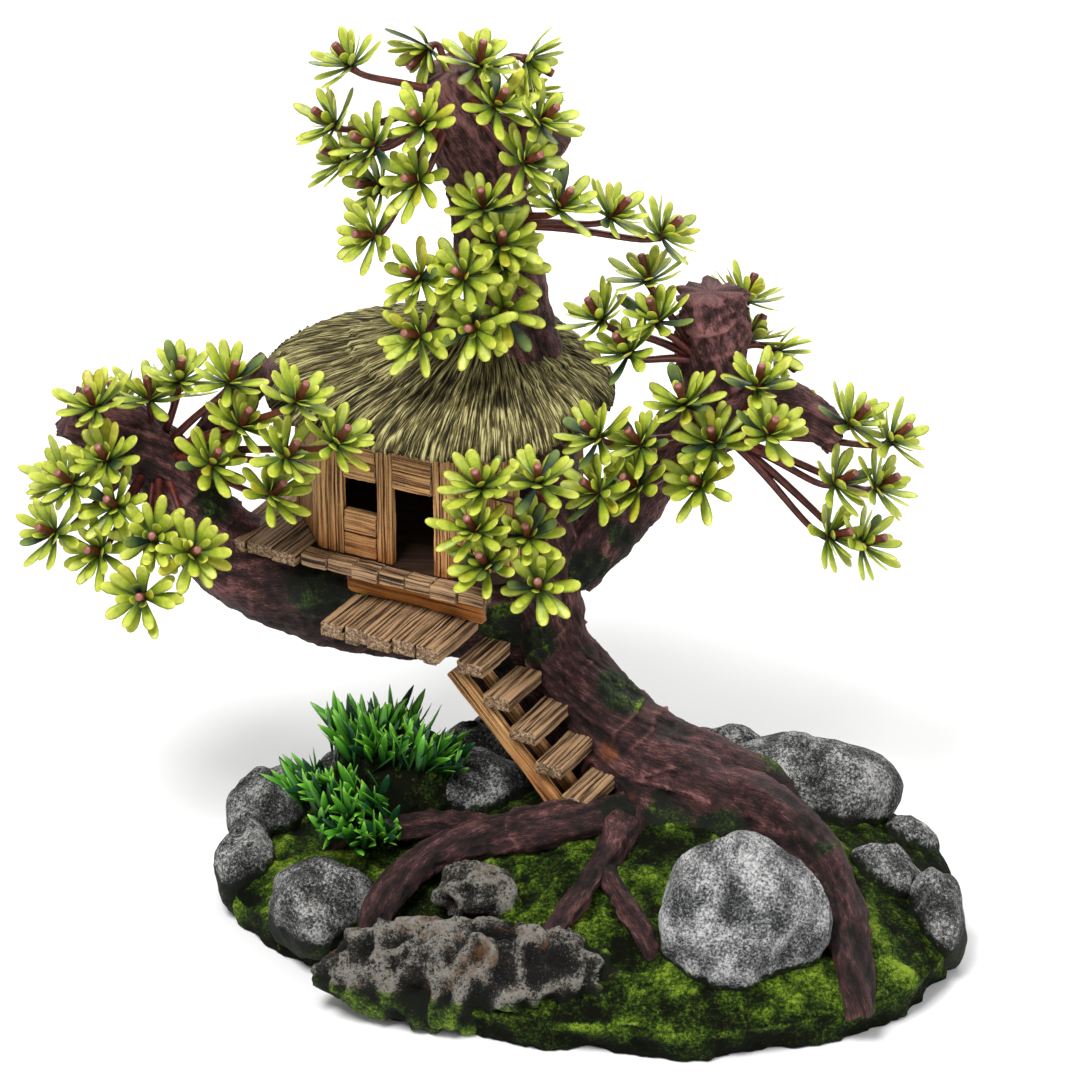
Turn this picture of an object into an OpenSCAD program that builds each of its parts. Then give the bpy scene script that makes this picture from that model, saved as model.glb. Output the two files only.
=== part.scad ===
// Tree house ornament: a thatched hut on a cast bonsai tree, with a plank deck,
// a landing, a stair, a rocky mossy base and clipped-on plastic foliage.
// +X runs to the right along the front of the base, +Y to the back, +Z up.
// The origin is on the ground under the middle of the base. Millimetres.

/* [Base] */
// Half width of the base
base_rx = 97; // [88:1:106]
// Half depth of the base
base_ry = 67; // [60:1:74]
// Height of the base at its rim
rim_h = 9; // [7:0.5:12]
// Rise of the ground from the rim to the middle
ground_rise = 21; // [17:1:23]

/* [Hut] */
// Height of the hut floor above the table
floor_z = 88; // [86:1:92]
// Distance from the middle of the hut to its front wall
hut_front = 39.5; // [37:0.5:42]
// Distance from the middle of the hut to its back wall
hut_back = 35; // [32:0.5:38]
// Distance from the middle of the hut to its left wall
hut_left = 34; // [31:0.5:36]
// Length of each sloping corner wall along one side
corner_cut = 15; // [12:0.5:17]
// Height of the walls
wall_h = 38; // [34:1:42]
// Thickness of the walls
wall_t = 2.4; // [1.8:0.1:3]
// Width of the left corner post of the front wall
post_w = 7.4; // [5:0.2:8]
// Width of the window
window_w = 9.5; // [7:0.5:11]
// Height of the window sill above the floor
sill_h = 13; // [10:0.5:15]
// Height of the window
window_h = 9; // [7:0.5:11]
// Width of the post between window and door
mid_post_w = 5; // [3:0.2:6]
// Width of the door
door_w = 11.5; // [9:0.5:13]
// Height of the door
door_h = 22; // [18:0.5:26]
// Width of the post to the right of the door
door_post_w = 4.6; // [3:0.2:6]

/* [Roof] */
// Radius of the thatched roof at its eaves
roof_r = 47; // [44:0.5:52]
// Height of the thatch above the walls, at the trunk
roof_rise = 21; // [18:1:25]
// Thickness of the thatch
thatch_t = 5; // [4:0.5:7]

/* [Deck and stair] */
// Thickness of the deck planks and of the floor
plank_t = 3.6; // [2.6:0.2:5]
// Width of one plank
plank_w = 7.4; // [5:0.2:10]
// How far the deck stands out in front of the wall
porch = 5; // [3:0.5:8]
// Height of the orange board under the deck
fascia_h = 7.2; // [5:0.2:9]
// Depth of the landing in front of the hut wall
landing_depth = 17.5; // [14:0.5:22]
// Number of stair treads
treads = 5; // [4:1:6]
// Drop from one tread to the next
tread_drop = 7.9; // [7:0.1:9]
// Step forward from one tread to the next
tread_run = 7.6; // [6:0.1:9]
// Width of a tread along the stair
tread_w = 7.8; // [6:0.2:9]

/* [Tree] */
// Thickness of the trunk, as a share of the usual one
trunk_scale = 1; // [0.9:0.02:1.1]
// Radius of a twig
twig_r = 0.9; // [0.7:0.1:1.2]
// Radius of the cup of a leaf rosette, without its leaf tips
leaf_r = 6.2; // [5:0.1:6.6]
// Height of a leaf rosette's cup
leaf_h = 3; // [2:0.2:4]

/* [Hidden] */

// Clearance between pieces that curve round each other
gap = 0.2;
// Clearance between straight pieces side by side
seam = 0.15;

// ---------------------------------------------------------------- helpers

function unit(v) = v / norm(v);
function turn(p, a) = [p[0] * cos(a) - p[1] * sin(a), p[0] * sin(a) + p[1] * cos(a)];
function around(a, middle) = let (d = abs(((a - middle) % 360 + 540) % 360 - 180)) d;
function swell(a, middle, width) = exp(-pow(around(a, middle) / width, 2));

// A mesh boolean of everything below it, with its size unchanged
module carved() { resize([0, 0, 0]) children(); }

// Points of a smooth curve (Catmull-Rom) through the rows of a path; each row is [x, y, z, r]
function row(path, i) = path[min(max(i, 0), len(path) - 1)];
function blend(p0, p1, p2, p3, t) = 0.5 * (2 * p1 + (p2 - p0) * t
    + (2 * p0 - 5 * p1 + 4 * p2 - p3) * t * t + (3 * p1 - p0 - 3 * p2 + p3) * t * t * t);
function smooth(path, steps) = concat([for (i = [0:len(path) - 2]) for (s = [0:steps - 1])
    blend(row(path, i - 1), row(path, i), row(path, i + 1), row(path, i + 2), s / steps)],
    [path[len(path) - 1]]);
function spot(q) = [q[0], q[1], q[2]];

// A round limb along a path, with lengthwise swellings. ref is any direction that the
// path never follows; grow makes it thicker all round and a little longer.
module limb(path, sides = 10, steps = 2, lobe = 0.07, ref = [0, 1, 0], grow = 0) {
    q = smooth(path, steps);
    m = len(q);
    dirs = [for (i = [0:m - 1]) unit(spot(q[min(i + 1, m - 1)]) - spot(q[max(i - 1, 0)]))];
    points = [for (i = [0:m - 1])
        let (t = dirs[i], a = unit(cross(ref, t)), b = cross(t, a),
             shift = i == 0 ? -grow : i == m - 1 ? grow : 0)
        for (j = [0:sides - 1])
            let (w = 360 * j / sides,
                 r = q[i][3] * (1 + lobe * sin(3 * w + 50 * i) + lobe / 2 * cos(5 * w - 70 * i)) + grow)
            spot(q[i]) + t * shift + r * (cos(w) * a + sin(w) * b)];
    skin = [for (i = [0:m - 2]) for (j = [0:sides - 1]) let (k = (j + 1) % sides)
        each [[i * sides + j, (i + 1) * sides + j, (i + 1) * sides + k],
              [i * sides + j, (i + 1) * sides + k, i * sides + k]]];
    caps = [[for (j = [0:sides - 1]) j], [for (j = [sides - 1:-1:0]) (m - 1) * sides + j]];
    polyhedron(points, concat(skin, caps));
}

// A weathered boulder: an ellipsoid with broad dents. It ends flat on the table, and a
// grown one, which cuts its socket, ends a little below
module boulder(at, size, yaw = 0, seed = 0, grow = 0, rows = 7, cols = 14) {
    function dent(a, e) = 1 + 0.07 * sin(2 * a + 60 * seed) * cos(e)
        + 0.06 * sin(3 * a + 2 * e + 100 * seed) + 0.04 * cos(5 * a - 3 * e + 40 * seed) * cos(e);
    function skin_point(a, e) = let (d = dent(a, e),
        q = turn([(size[0] * d + grow) * cos(e) * cos(a), (size[1] * d + grow) * cos(e) * sin(a)], yaw))
        [at[0] + q[0], at[1] + q[1], max(-5 * grow, at[2] + (size[2] * d + grow) * sin(e))];
    points = concat([for (i = [1:rows]) for (j = [0:cols - 1])
        skin_point(360 * j / cols, -90 + 180 * i / (rows + 1))],
        [skin_point(0, -90), skin_point(0, 90)]);
    n = rows * cols;
    faces = concat(
        [for (i = [0:rows - 2]) for (j = [0:cols - 1]) let (k = (j + 1) % cols)
            each [[i * cols + j, (i + 1) * cols + j, (i + 1) * cols + k],
                  [i * cols + j, (i + 1) * cols + k, i * cols + k]]],
        [for (j = [0:cols - 1]) [n, j, (j + 1) % cols]],
        [for (j = [0:cols - 1]) [n + 1, (rows - 1) * cols + (j + 1) % cols, (rows - 1) * cols + j]]);
    polyhedron(points, faces);
}

// ---------------------------------------------------------------- base

base_y = 4;
// Outline of the base: a full oval, drawn in at the front left and full at the front right
base_square = 2.3;
function base_radius(a) = (1 - 0.28 * swell(a, 217, 28) + 0.04 * swell(a, 313, 22)
    - 0.05 * swell(a, 264, 20) - 0.03 * swell(a, 10, 14) + 0.012 * sin(9 * a))
    / pow(pow(abs(cos(a)) / base_rx, base_square) + pow(abs(sin(a)) / base_ry, base_square), 1 / base_square);
function ground_h(x, y) = let (a = atan2(y - base_y, x),
    s = pow(norm([x, y - base_y]) / base_radius(a), 2))
    rim_h + ground_rise * max(0, 1 - s) * (1 + 0.25 * x / base_rx);

ROCKS_FRONT_LARGE = [[[37, -37, 24], [20, 17.5, 23.5], 0, 1]];
ROCKS_FRONT_ROUGH = [[[-28, -41, 10.5], [37, 14, 14.5], -6, 2], [[-28, -22, 23], [10, 8, 7], 0, 3]];
ROCKS_LEFT = [[[-68, -13, 12.5], [15, 12, 13.5], 10, 4], [[-89, 15, 8.5], [9, 13, 12], 0, 5],
    [[-84, 36, 13], [11, 13, 12], 0, 6]];
ROCKS_RIGHT = [[[57, 32, 21.5], [23.5, 18, 14.5], -14, 7], [[84, 22, 11], [7.5, 7, 8], 0, 8],
    [[76, -3, 15], [10, 10, 10], 0, 9], [[89, -14, 10], [8, 13, 13], 0, 10]];
ROCKS_BACK = [[[-28, 24, 27], [15, 11, 9], 0, 11], [[-29, 54, 17], [13, 11, 13], 0, 12],
    [[34, 45, 20], [17, 12, 12.5], 0, 13], [[4, 60, 11], [17, 10, 12], 0, 15],
    [[-60, 52, 11], [14, 10, 12], 20, 14]];
ROCKS = concat(ROCKS_FRONT_LARGE, ROCKS_FRONT_ROUGH, ROCKS_LEFT, ROCKS_RIGHT, ROCKS_BACK);

module one_rock(rock, grow = 0) {
    boulder(rock[0], rock[1], rock[2], rock[3], grow, rock[1][0] > 18 ? 9 : 7, rock[1][0] > 18 ? 18 : 12);
}
module rocks(list, grow = 0) { for (rock = list) one_rock(rock, grow); }

module ground_shape() {
    rings = 8;
    cols = 40;
    top = [for (i = [1:rings]) for (j = [0:cols - 1])
        let (a = 360 * j / cols, r = base_radius(a) * i / rings, x = r * cos(a), y = base_y + r * sin(a))
        [x, y, ground_h(x, y) + (i == rings ? 0 : 0.8 * sin(5 * a + 90 * i))]];
    foot = [for (j = [0:cols - 1]) let (a = 360 * j / cols, r = base_radius(a) * 0.985)
        [r * cos(a), base_y + r * sin(a), 0]];
    n = rings * cols;
    points = concat(top, foot, [[0, base_y, ground_h(0, base_y)], [0, base_y, 0]]);
    faces = concat(
        [for (j = [0:cols - 1]) [n + cols, (j + 1) % cols, j]],
        [for (i = [0:rings - 2]) for (j = [0:cols - 1]) let (k = (j + 1) % cols)
            each [[i * cols + j, i * cols + k, (i + 1) * cols + k],
                  [i * cols + j, (i + 1) * cols + k, (i + 1) * cols + j]]],
        [for (j = [0:cols - 1]) let (k = (j + 1) % cols)
            each [[n - cols + j, n - cols + k, n + k], [n - cols + j, n + k, n + j]]],
        [for (j = [0:cols - 1]) [n + cols + 1, n + j, n + (j + 1) % cols]]);
    polyhedron(points, faces);
}

mound = [[-50, 24, 27], [16, 15, 17]];
module mound_shape(grow = 0) { boulder(mound[0], mound[1], 0, 3, grow, 8, 14); }

// ---------------------------------------------------------------- tree

split_z = floor_z - plank_t;
function thick(path) = [for (p = path) [p[0], p[1], p[2], p[3] * trunk_scale]];
TRUNK = thick([[30, 18, 14, 30], [24, 20, 26, 21], [12, 25, 39, 14], [0, 30, 52, 10.5],
    [-9, 36, 63, 9.5], [-12, 43, 75, 10], [-12, 49, 88, 12], [-15, 56, 108, 12.5], [-20, 64, 138, 11],
    [-23, 67, 160, 10.5], [-26, 68, 178, 10], [-31, 67, 196, 10], [-34, 66, 214, 9.5]]);
LIMB_LEFT = thick([[-10, 44, 66, 13], [-28, 47, 69, 14], [-50, 51, 69, 14.5], [-74, 54, 71, 14],
    [-93, 57, 78, 12], [-103, 57, 92, 10.5], [-110, 56, 105, 9.5], [-119, 54, 115, 8.5],
    [-133, 52, 124, 7.5]]);
LIMB_LEFT_BRANCH = thick([[-101, 57, 104, 6], [-97, 54, 115, 5.5], [-89, 50, 128, 4.8], [-82, 47, 138, 4]]);
LIMB_RIGHT = thick([[-6, 46, 80, 9], [2, 48, 89, 9], [11, 50, 100, 8.5], [21, 52, 111, 8.5],
    [34, 52, 120, 8], [47, 49, 127, 6.5], [56, 46, 125, 5.5], [64, 44, 119, 4.5]]);
LIMB_RIGHT_STUB = thick([[30, 53, 119, 7], [32.5, 54, 128, 9], [32, 54, 140, 9], [31, 54, 156, 7.5]]);
TRUNK_STUB_RIGHT = thick([[-24, 67, 180, 6], [-17, 63, 189, 7], [-10, 58, 199, 6.5]]);
ROOT_RIGHT = thick([[24, 22, 30, 9], [42, 9, 32, 8], [56, -6, 29, 6.5], [63, -23, 23, 5.5],
    [65, -37, 17, 5.5], [66, -48, 11, 5]]);
ROOT_LEFT_FRONT = thick([[10, 4, 30, 6], [-10, -4, 32, 5.5], [-25, -5, 30, 5], [-37, -9, 28, 4.5],
    [-46, -15, 25, 4.5], [-53, -23, 20, 4]]);
ROOT_LEFT_BACK = thick([[-24, 0, 29, 3.5], [-42, 4, 28, 3.5], [-62, 8, 23, 3.5]]);
ROOT_FORK_LEFT = thick([[6, -12, 30, 3.5], [-1, -27, 28, 3], [-7, -36, 24, 2.6], [-13, -42, 19, 2.2]]);
ROOT_FORK_RIGHT = thick([[3, -18, 29.5, 3], [9, -31, 26, 2.6], [14, -41, 21, 2.2]]);

module trunk_shape(grow = 0) { limb(TRUNK, 16, 2, 0.06, [0, 1, 0], grow); }
module limb_left_shape(grow = 0) { limb(LIMB_LEFT, 12, 2, 0.06, [0, 1, 0], grow); }
module limb_left_branch_shape(grow = 0) { limb(LIMB_LEFT_BRANCH, 8, 2, 0.06, [0, 1, 0], grow); }
module limb_right_shape(grow = 0) { limb(LIMB_RIGHT, 10, 2, 0.08, [0, 1, 0], grow); }
module limb_right_stub_shape(grow = 0) { limb(LIMB_RIGHT_STUB, 12, 3, 0.1, [0, 1, 0], grow); }
module trunk_stub_right_shape(grow = 0) { limb(TRUNK_STUB_RIGHT, 10, 2, 0.08, [1, 0, 0], grow); }
module root_right_shape(grow = 0) { limb(ROOT_RIGHT, 10, 2, 0.08, [0, 0, 1], grow); }
module root_left_front_shape(grow = 0) { limb(ROOT_LEFT_FRONT, 10, 2, 0.08, [0, 0, 1], grow); }
module root_left_back_shape(grow = 0) { limb(ROOT_LEFT_BACK, 8, 2, 0.08, [0, 0, 1], grow); }
module root_fork_shape(grow = 0) {
    limb(ROOT_FORK_LEFT, 8, 2, 0.08, [0, 0, 1], grow);
    limb(ROOT_FORK_RIGHT, 8, 2, 0.08, [0, 0, 1], grow);
}
module above(z) { translate([-200, -200, z]) cube([400, 400, 400]); }
module below(z) { translate([-200, -200, z - 400]) cube([400, 400, 400]); }

module ground_base() color("darkolivegreen") carved() difference() {
    ground_shape();
    rocks(ROCKS, gap);
    mound_shape(gap);
    trunk_shape(gap);
    root_right_shape(gap);
    root_left_front_shape(gap);
    root_left_back_shape(gap);
    root_fork_shape(gap);
    stair_space();
}
module moss_mound() color("olivedrab") carved() difference() {
    mound_shape();
    rocks(concat(ROCKS_LEFT, ROCKS_BACK), gap);
    root_left_back_shape(gap);
}
// A rock keeps clear of the rocks named before it
module clear_rocks(list, before) carved() difference() {
    for (i = [0:len(list) - 1]) difference() {
        one_rock(list[i]);
        for (j = [0:1:i - 1]) one_rock(list[j], gap);
    }
    rocks(before, gap);
    children();
}
module rock_front_large() color("slategray") one_rock(ROCKS_FRONT_LARGE[0]);
module rock_front_rough() color("dimgray") clear_rocks(ROCKS_FRONT_ROUGH, ROCKS_FRONT_LARGE)
    root_fork_shape(gap);
module rocks_left() color("gray") clear_rocks(ROCKS_LEFT, ROCKS_FRONT_ROUGH) root_left_front_shape(gap);
module rocks_right() color("darkgray") clear_rocks(ROCKS_RIGHT, ROCKS_FRONT_LARGE) {
    trunk_shape(gap);
    root_right_shape(gap);
}
module rocks_back() color("lightslategray") clear_rocks(ROCKS_BACK, concat(ROCKS_LEFT, ROCKS_RIGHT)) {
    trunk_shape(gap);
    root_left_back_shape(gap);
}

module trunk_lower() color("rosybrown") carved() difference() {
    trunk_shape();
    above(split_z);
    below(3);
    rocks(ROCKS_FRONT_LARGE, gap);
    stair_space();
}
module trunk_upper() color("saddlebrown") carved() difference() {
    trunk_shape();
    below(split_z);
    translate([-34, 66, 213]) rotate([0, -28, 0]) translate([-30, -30, 0]) cube(60);
}
module trunk_stub_right() color("sienna") carved() difference() {
    trunk_stub_right_shape();
    trunk_shape(gap);
}
module limb_left() color("rosybrown") carved() difference() {
    limb_left_shape();
    trunk_shape(gap);
    deck_space();
}
module limb_left_branch() color("sienna") carved() difference() {
    limb_left_branch_shape();
    limb_left_shape(gap);
}
module limb_right() color("rosybrown") carved() difference() {
    limb_right_shape();
    trunk_shape(gap);
}
module limb_right_stub() color("sienna") carved() difference() {
    limb_right_stub_shape();
    limb_right_shape(gap);
}
module root_right() color("rosybrown") carved() difference() {
    root_right_shape();
    trunk_shape(gap);
    rocks(ROCKS_FRONT_LARGE, gap);
}
module root_left_front() color("sienna") carved() difference() {
    root_left_front_shape();
    trunk_shape(gap);
    stair_space();
}
module root_left_back() color("sienna") carved() difference() {
    root_left_back_shape();
    root_left_front_shape(gap);
}
module root_fork() color("rosybrown") carved() difference() {
    root_fork_shape();
    root_left_front_shape(gap);
    stair_space();
}

// ---------------------------------------------------------------- hut

hut_at = [-37, 71];
hut_yaw = -28;
front_left_u = -16;
front_right_u = front_left_u + post_w + window_w + mid_post_w + door_w + door_post_w;
back_right_u = 14;
module in_hut() { translate([hut_at[0], hut_at[1], 0]) rotate([0, 0, hut_yaw]) children(); }

// Corners of the hut's outer face, from the front right one clockwise seen from above
wall_end = 14;
CORNERS = [[front_right_u + wall_end, -hut_front + wall_end], [front_right_u, -hut_front],
    [front_left_u, -hut_front], [-hut_left, -hut_front + hut_left + front_left_u],
    [-hut_left, hut_back - corner_cut], [-hut_left + corner_cut, hut_back],
    [back_right_u, hut_back], [back_right_u + corner_cut + 3, hut_back - corner_cut - 3]];
function corner_dir(i) = unit(CORNERS[i + 1] - CORNERS[i]);
function inward(d) = [d[1], -d[0]];
// A corner moved inwards by a distance, along the mitre of its two walls
function inner(i, t) = let (n = len(CORNERS) - 1,
    a = inward(corner_dir(min(i, n - 1))), b = inward(corner_dir(max(i - 1, 0))))
    CORNERS[i] + (a + b) * t / (1 + a * b);
module wall_run(i) {
    in_hut() translate([0, 0, floor_z]) linear_extrude(wall_h)
        polygon([CORNERS[i], CORNERS[i + 1], inner(i + 1, wall_t), inner(i, wall_t)]);
}
// A piece of the front wall, from u0 to u1 and from z0 to z1 above the floor
module front_piece(u0, u1, z0, z1) {
    left = u0 <= front_left_u;
    right = u1 >= front_right_u;
    in_hut() translate([0, 0, floor_z + z0]) linear_extrude(z1 - z0) polygon([
        [left ? CORNERS[2][0] : u0 + seam / 2, -hut_front],
        [right ? CORNERS[1][0] : u1 - seam / 2, -hut_front],
        [right ? inner(1, wall_t)[0] : u1 - seam / 2, wall_t - hut_front],
        [left ? inner(2, wall_t)[0] : u0 + seam / 2, wall_t - hut_front]]);
}
window_u = front_left_u + post_w;
mid_post_u = window_u + window_w;
door_u = mid_post_u + mid_post_w;
door_post_u = door_u + door_w;

module floor_outline(extra = 0) {
    polygon([for (i = [0:len(CORNERS) - 1]) inner(i, -extra)]);
}
// The room that the tree leaves for the floor, the deck and the landing
module deck_space() {
    in_hut() translate([0, 0, floor_z - plank_t]) linear_extrude(wall_h) floor_outline();
    for (lower = [0, gap]) translate([0, 0, -lower]) {
        deck_planks_left_shape();
        deck_planks_front();
        deck_fascia_board();
        landing_planks();
        landing_beams();
    }
}
module hut_floor() color("peru") carved() difference() {
    in_hut() translate([0, 0, floor_z - plank_t]) linear_extrude(plank_t) floor_outline();
    trunk_shape(gap);
    limb_right_shape(gap);
}
module front_wall_left_post() color("burlywood") front_piece(front_left_u, window_u, 0, wall_h);
module front_wall_sill_boards() color("chocolate") front_piece(window_u, mid_post_u, 0, sill_h);
module front_wall_window_head() color("tan") front_piece(window_u, mid_post_u, sill_h + window_h, wall_h);
module front_wall_middle_post() color("burlywood") front_piece(mid_post_u, door_u, 0, wall_h);
module front_wall_door_head() color("tan") front_piece(door_u, door_post_u, door_h, wall_h);
module front_wall_door_post() color("burlywood") front_piece(door_post_u, front_right_u, 0, wall_h);
module cut_wall(i) carved() difference() {
    wall_run(i);
    trunk_shape(gap);
    limb_right_shape(gap);
}
module wall_front_right() color("tan") cut_wall(0);
module wall_front_left() color("tan") wall_run(2);
module wall_left() color("burlywood") wall_run(3);
module wall_back_left() color("tan") wall_run(4);
module wall_back() color("burlywood") wall_run(5);
module wall_back_right() color("tan") cut_wall(6);

// ---------------------------------------------------------------- roof

plate_z = floor_z + wall_h + seam;
eave_drop = 3;
// The eave is a round that bulges over the front right corner of the walls, and a little
// at the left, and is drawn in at the back
eave_bulge = 0.08;
apex = [12, 4];
// Outer and inner heights of the thatch, by share of the way from the apex to the eave
OUTER = [[0, 1], [0.3, 0.7], [0.55, 0.43], [0.8, 0.2], [0.95, 0.06], [1, -0.08]];
module roof_shape() {
    cols = 36;
    outer_rows = len(OUTER);
    function eave(a) = roof_r * (1 + 0.01 * sin(5 * a) + 0.008 * sin(11 * a + 30)
        + eave_bulge * (swell(a, 318, 26) + 0.5 * swell(a, 195, 40)
        - 1.3 * swell(a, 50, 40) - 0.7 * swell(a, 128, 36)));
    function at(a, s, z) = let (e = eave(a) * [cos(a), sin(a)]) [apex[0] * (1 - s) + e[0] * s,
        apex[1] * (1 - s) + e[1] * s, z];
    INNER = [[0.985, -eave_drop], [0.96, -eave_drop], [0.94, 0], [0.7, 0],
        [0.55, roof_rise * OUTER[2][1] - thatch_t], [0.3, roof_rise * OUTER[1][1] - thatch_t],
        [0, roof_rise - thatch_t]];
    points = concat(
        [for (k = [1:outer_rows - 1]) for (j = [0:cols - 1])
            at(360 * j / cols, OUTER[k][0], plate_z + roof_rise * OUTER[k][1])],
        [for (k = [0:len(INNER) - 2]) for (j = [0:cols - 1])
            at(360 * j / cols, INNER[k][0], plate_z + INNER[k][1])],
        [at(0, 0, plate_z + roof_rise), at(0, 0, plate_z + INNER[len(INNER) - 1][1])]);
    rows = outer_rows - 1 + len(INNER) - 1;
    n = rows * cols;
    faces = concat(
        [for (j = [0:cols - 1]) [n, (j + 1) % cols, j]],
        [for (i = [0:rows - 2]) for (j = [0:cols - 1]) let (k = (j + 1) % cols)
            each [[i * cols + j, i * cols + k, (i + 1) * cols + k],
                  [i * cols + j, (i + 1) * cols + k, (i + 1) * cols + j]]],
        [for (j = [0:cols - 1]) [n + 1, n - cols + j, n - cols + (j + 1) % cols]]);
    in_hut() polyhedron(points, faces);
}
module thatched_roof() color("darkkhaki") carved() difference() {
    roof_shape();
    trunk_shape(gap);
    limb_left_branch_shape(gap);
}

// ---------------------------------------------------------------- deck, landing and stair

deck_left_u = -43;
deck_right_u = 35;
// Planks side by side along u, with their front ends a little uneven
module planks(u0, u1, v0, v1, top, thickness, width = plank_w) {
    count = round((u1 - u0) / width);
    w = (u1 - u0) / count;
    for (i = [0:count - 1])
        in_hut() translate([u0 + i * w + seam, v0 + 0.6 * sin(130 * i), top - thickness])
            cube([w - 2 * seam, v1 - v0 - 0.6 * sin(130 * i), thickness]);
}
module deck_planks_front() color("tan")
    planks(front_left_u - 3, deck_right_u, -hut_front - porch, -hut_front - seam, floor_z, plank_t);
left_deck_back = 8;
module deck_planks_left() color("tan") carved() deck_planks_left_shape();
module deck_planks_left_shape() difference() {
    planks(deck_left_u, front_left_u - 3 - seam, -hut_front - porch - 1, left_deck_back, floor_z, plank_t, 8);
    in_hut() translate([0, 0, floor_z - 50]) linear_extrude(100) floor_outline(seam);
}
module deck_fascia_board() color("darkorange") in_hut()
    translate([-8, -hut_front + seam, floor_z - plank_t - fascia_h])
        cube([deck_right_u + 5, 2.2, fascia_h - seam]);
landing_z = floor_z - plank_t - fascia_h;
landing_left_u = -6;
landing_right_u = 29;
landing_t = 4.2;
module landing_planks() color("burlywood") planks(landing_left_u, landing_right_u,
    -hut_front - landing_depth, -hut_front + 4, landing_z, landing_t, 7);
module landing_beams() color("peru") for (u = [landing_left_u + 5, landing_right_u - 7]) in_hut()
    translate([u, -hut_front - landing_depth + 4, landing_z - landing_t - 3])
        cube([4, landing_depth + 2, 3 - seam]);

stair_u = 28.2;
stair_v = -46.5;
tread_t = 3.6;
tread_top = landing_z - tread_drop;
function tread_len(i) = 15 + 3 * i;
module one_tread(i, grow = 0) in_hut()
    translate([stair_u + i * tread_run - grow, stair_v - grow, tread_top - i * tread_drop - tread_t - grow])
        cube([tread_w + 2 * grow, tread_len(i) + 2 * grow, tread_t + 2 * grow]);
module stair_treads() color("burlywood") for (i = [0:treads - 1]) one_tread(i);
stringer_t = 2.6;
stringer_front_v = stair_v + 1.5;
stringer_back_v = stair_v + 10;
slope = atan2(tread_drop, tread_run);
stair_len = (treads + 0.75) * norm([tread_run, tread_drop]);
module stringer_shape(grow, v) in_hut()
    translate([stair_u, v - grow, tread_top - tread_t - seam]) rotate([0, slope, 0])
        translate([-1, 0, -4.4 - grow]) cube([stair_len, stringer_t + 2 * grow, 4.4 + grow]);
module stair_stringer_front() color("peru") stringer_shape(0, stringer_front_v);
module stair_stringer_back() color("peru") stringer_shape(0, stringer_back_v);
module stair_space() {
    for (i = [0:treads - 1]) one_tread(i, gap);
    stringer_shape(gap, stringer_front_v);
    stringer_shape(gap, stringer_back_v);
}

// ---------------------------------------------------------------- foliage

// Each spray is the point where its twigs spring from the wood, then the tips of the pegs
// in the middle of its rosettes
LEFT_HUB = [-112, 56, 108];
LEFT = [[-127, 42, 132], [-113, 50, 131], [-104, 46, 138], [-90, 38, 141], [-87, 34, 130], [-95, 34, 119],
    [-79, 30, 112], [-124, 34, 120], [-138, 44, 110], [-134, 34, 113], [-122, 30, 108], [-139, 30, 100],
    [-127, 28, 95], [-111, 24, 101], [-100, 22, 98], [-114, 16, 88], [-72, 26, 141], [-75, 28, 124],
    [-62, 24, 130], [-108, 74, 122], [-124, 70, 120]];
TOP_HUB = [-33, 62, 204];
TOP = [[-62, 60, 218], [-45, 64, 217], [-53, 57, 211], [-67, 58, 202], [-57, 52, 198], [-65, 60, 191],
    [-43, 47, 206], [-27, 56, 220], [-10, 60, 216], [-1, 58, 212], [-22, 48, 211], [-10, 50, 206],
    [-14, 45, 196], [-45, 46, 190], [-56, 54, 185], [-57, 46, 175], [-30, 82, 210], [-14, 80, 204]];
MIDDLE_HUB = [-24, 58, 172];
MIDDLE = [[-27, 46, 185], [-6, 46, 185], [-22, 44, 175], [-20, 48, 166], [8, 52, 180], [21, 54, 174],
    [-45, 40, 167], [-33, 38, 168], [-30, 33, 155], [-21, 42, 155], [-45, 34, 153], [-18, 86, 172]];
RIGHT_UPPER_HUB = [28, 50, 138];
RIGHT_UPPER = [[14, 54, 163], [16, 45, 155], [1, 48, 154], [8, 42, 147], [42, 67, 152], [44, 66, 141],
    [54, 62, 134], [62, 60, 128]];
RIGHT_HUB = [36, 46, 118];
RIGHT = [[43, 36, 141], [23, 33, 137], [46, 27, 131], [11, 29, 127], [0, 31, 128], [31, 30, 127],
    [27, 28, 115], [10, 26, 116], [0, 25, 115], [69, 40, 128], [80, 40, 123], [66, 36, 112], [77, 38, 110],
    [65, 34, 97], [74, 36, 94], [58, 66, 118]];
FRONT_HUB = [-11, 42, 98];
FRONT = [[-28, 13, 123], [-13, 14, 124], [-30, 8, 113], [-16, 12, 109], [-27, 6, 104], [-13, 8, 96]];

// A rosette looks away from the foot of its spray, and upwards and a little forwards
function rosette_dir(hub, p) = unit(unit(p - hub) + [0, -0.2, 1]);
module toward(dir) { rotate([0, acos(dir[2]), atan2(dir[1], dir[0])]) children(); }
peg_r = 1.1;
peg_h = 5.4;
module rosette() rotate_extrude($fn = 24) polygon([[0, 0], [2, 0], [leaf_r * 0.6, leaf_h * 0.45],
    [leaf_r, leaf_h], [leaf_r - 0.6, leaf_h + 0.7], [leaf_r * 0.55, leaf_h * 0.45 + 1.2],
    [peg_r, 1.6], [peg_r, peg_h], [0, peg_h]]);
// The room that the twigs leave for a rosette: a wide cone for the cup and a bar for the peg
module rosette_room() {
    round_out = 1 / cos(22.5);
    translate([0, 0, -gap / 2]) cylinder(leaf_h + 1, 2.7 * round_out, (leaf_r + 1.2) * round_out, $fn = 8);
    cylinder(peg_h + gap, r = (peg_r + gap) * round_out, $fn = 8);
}
module on_twig(hub, p) { translate(p - rosette_dir(hub, p) * peg_h) toward(rosette_dir(hub, p)) children(); }
module leaves(hub, list) for (p = list) on_twig(hub, p) rosette();

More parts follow.
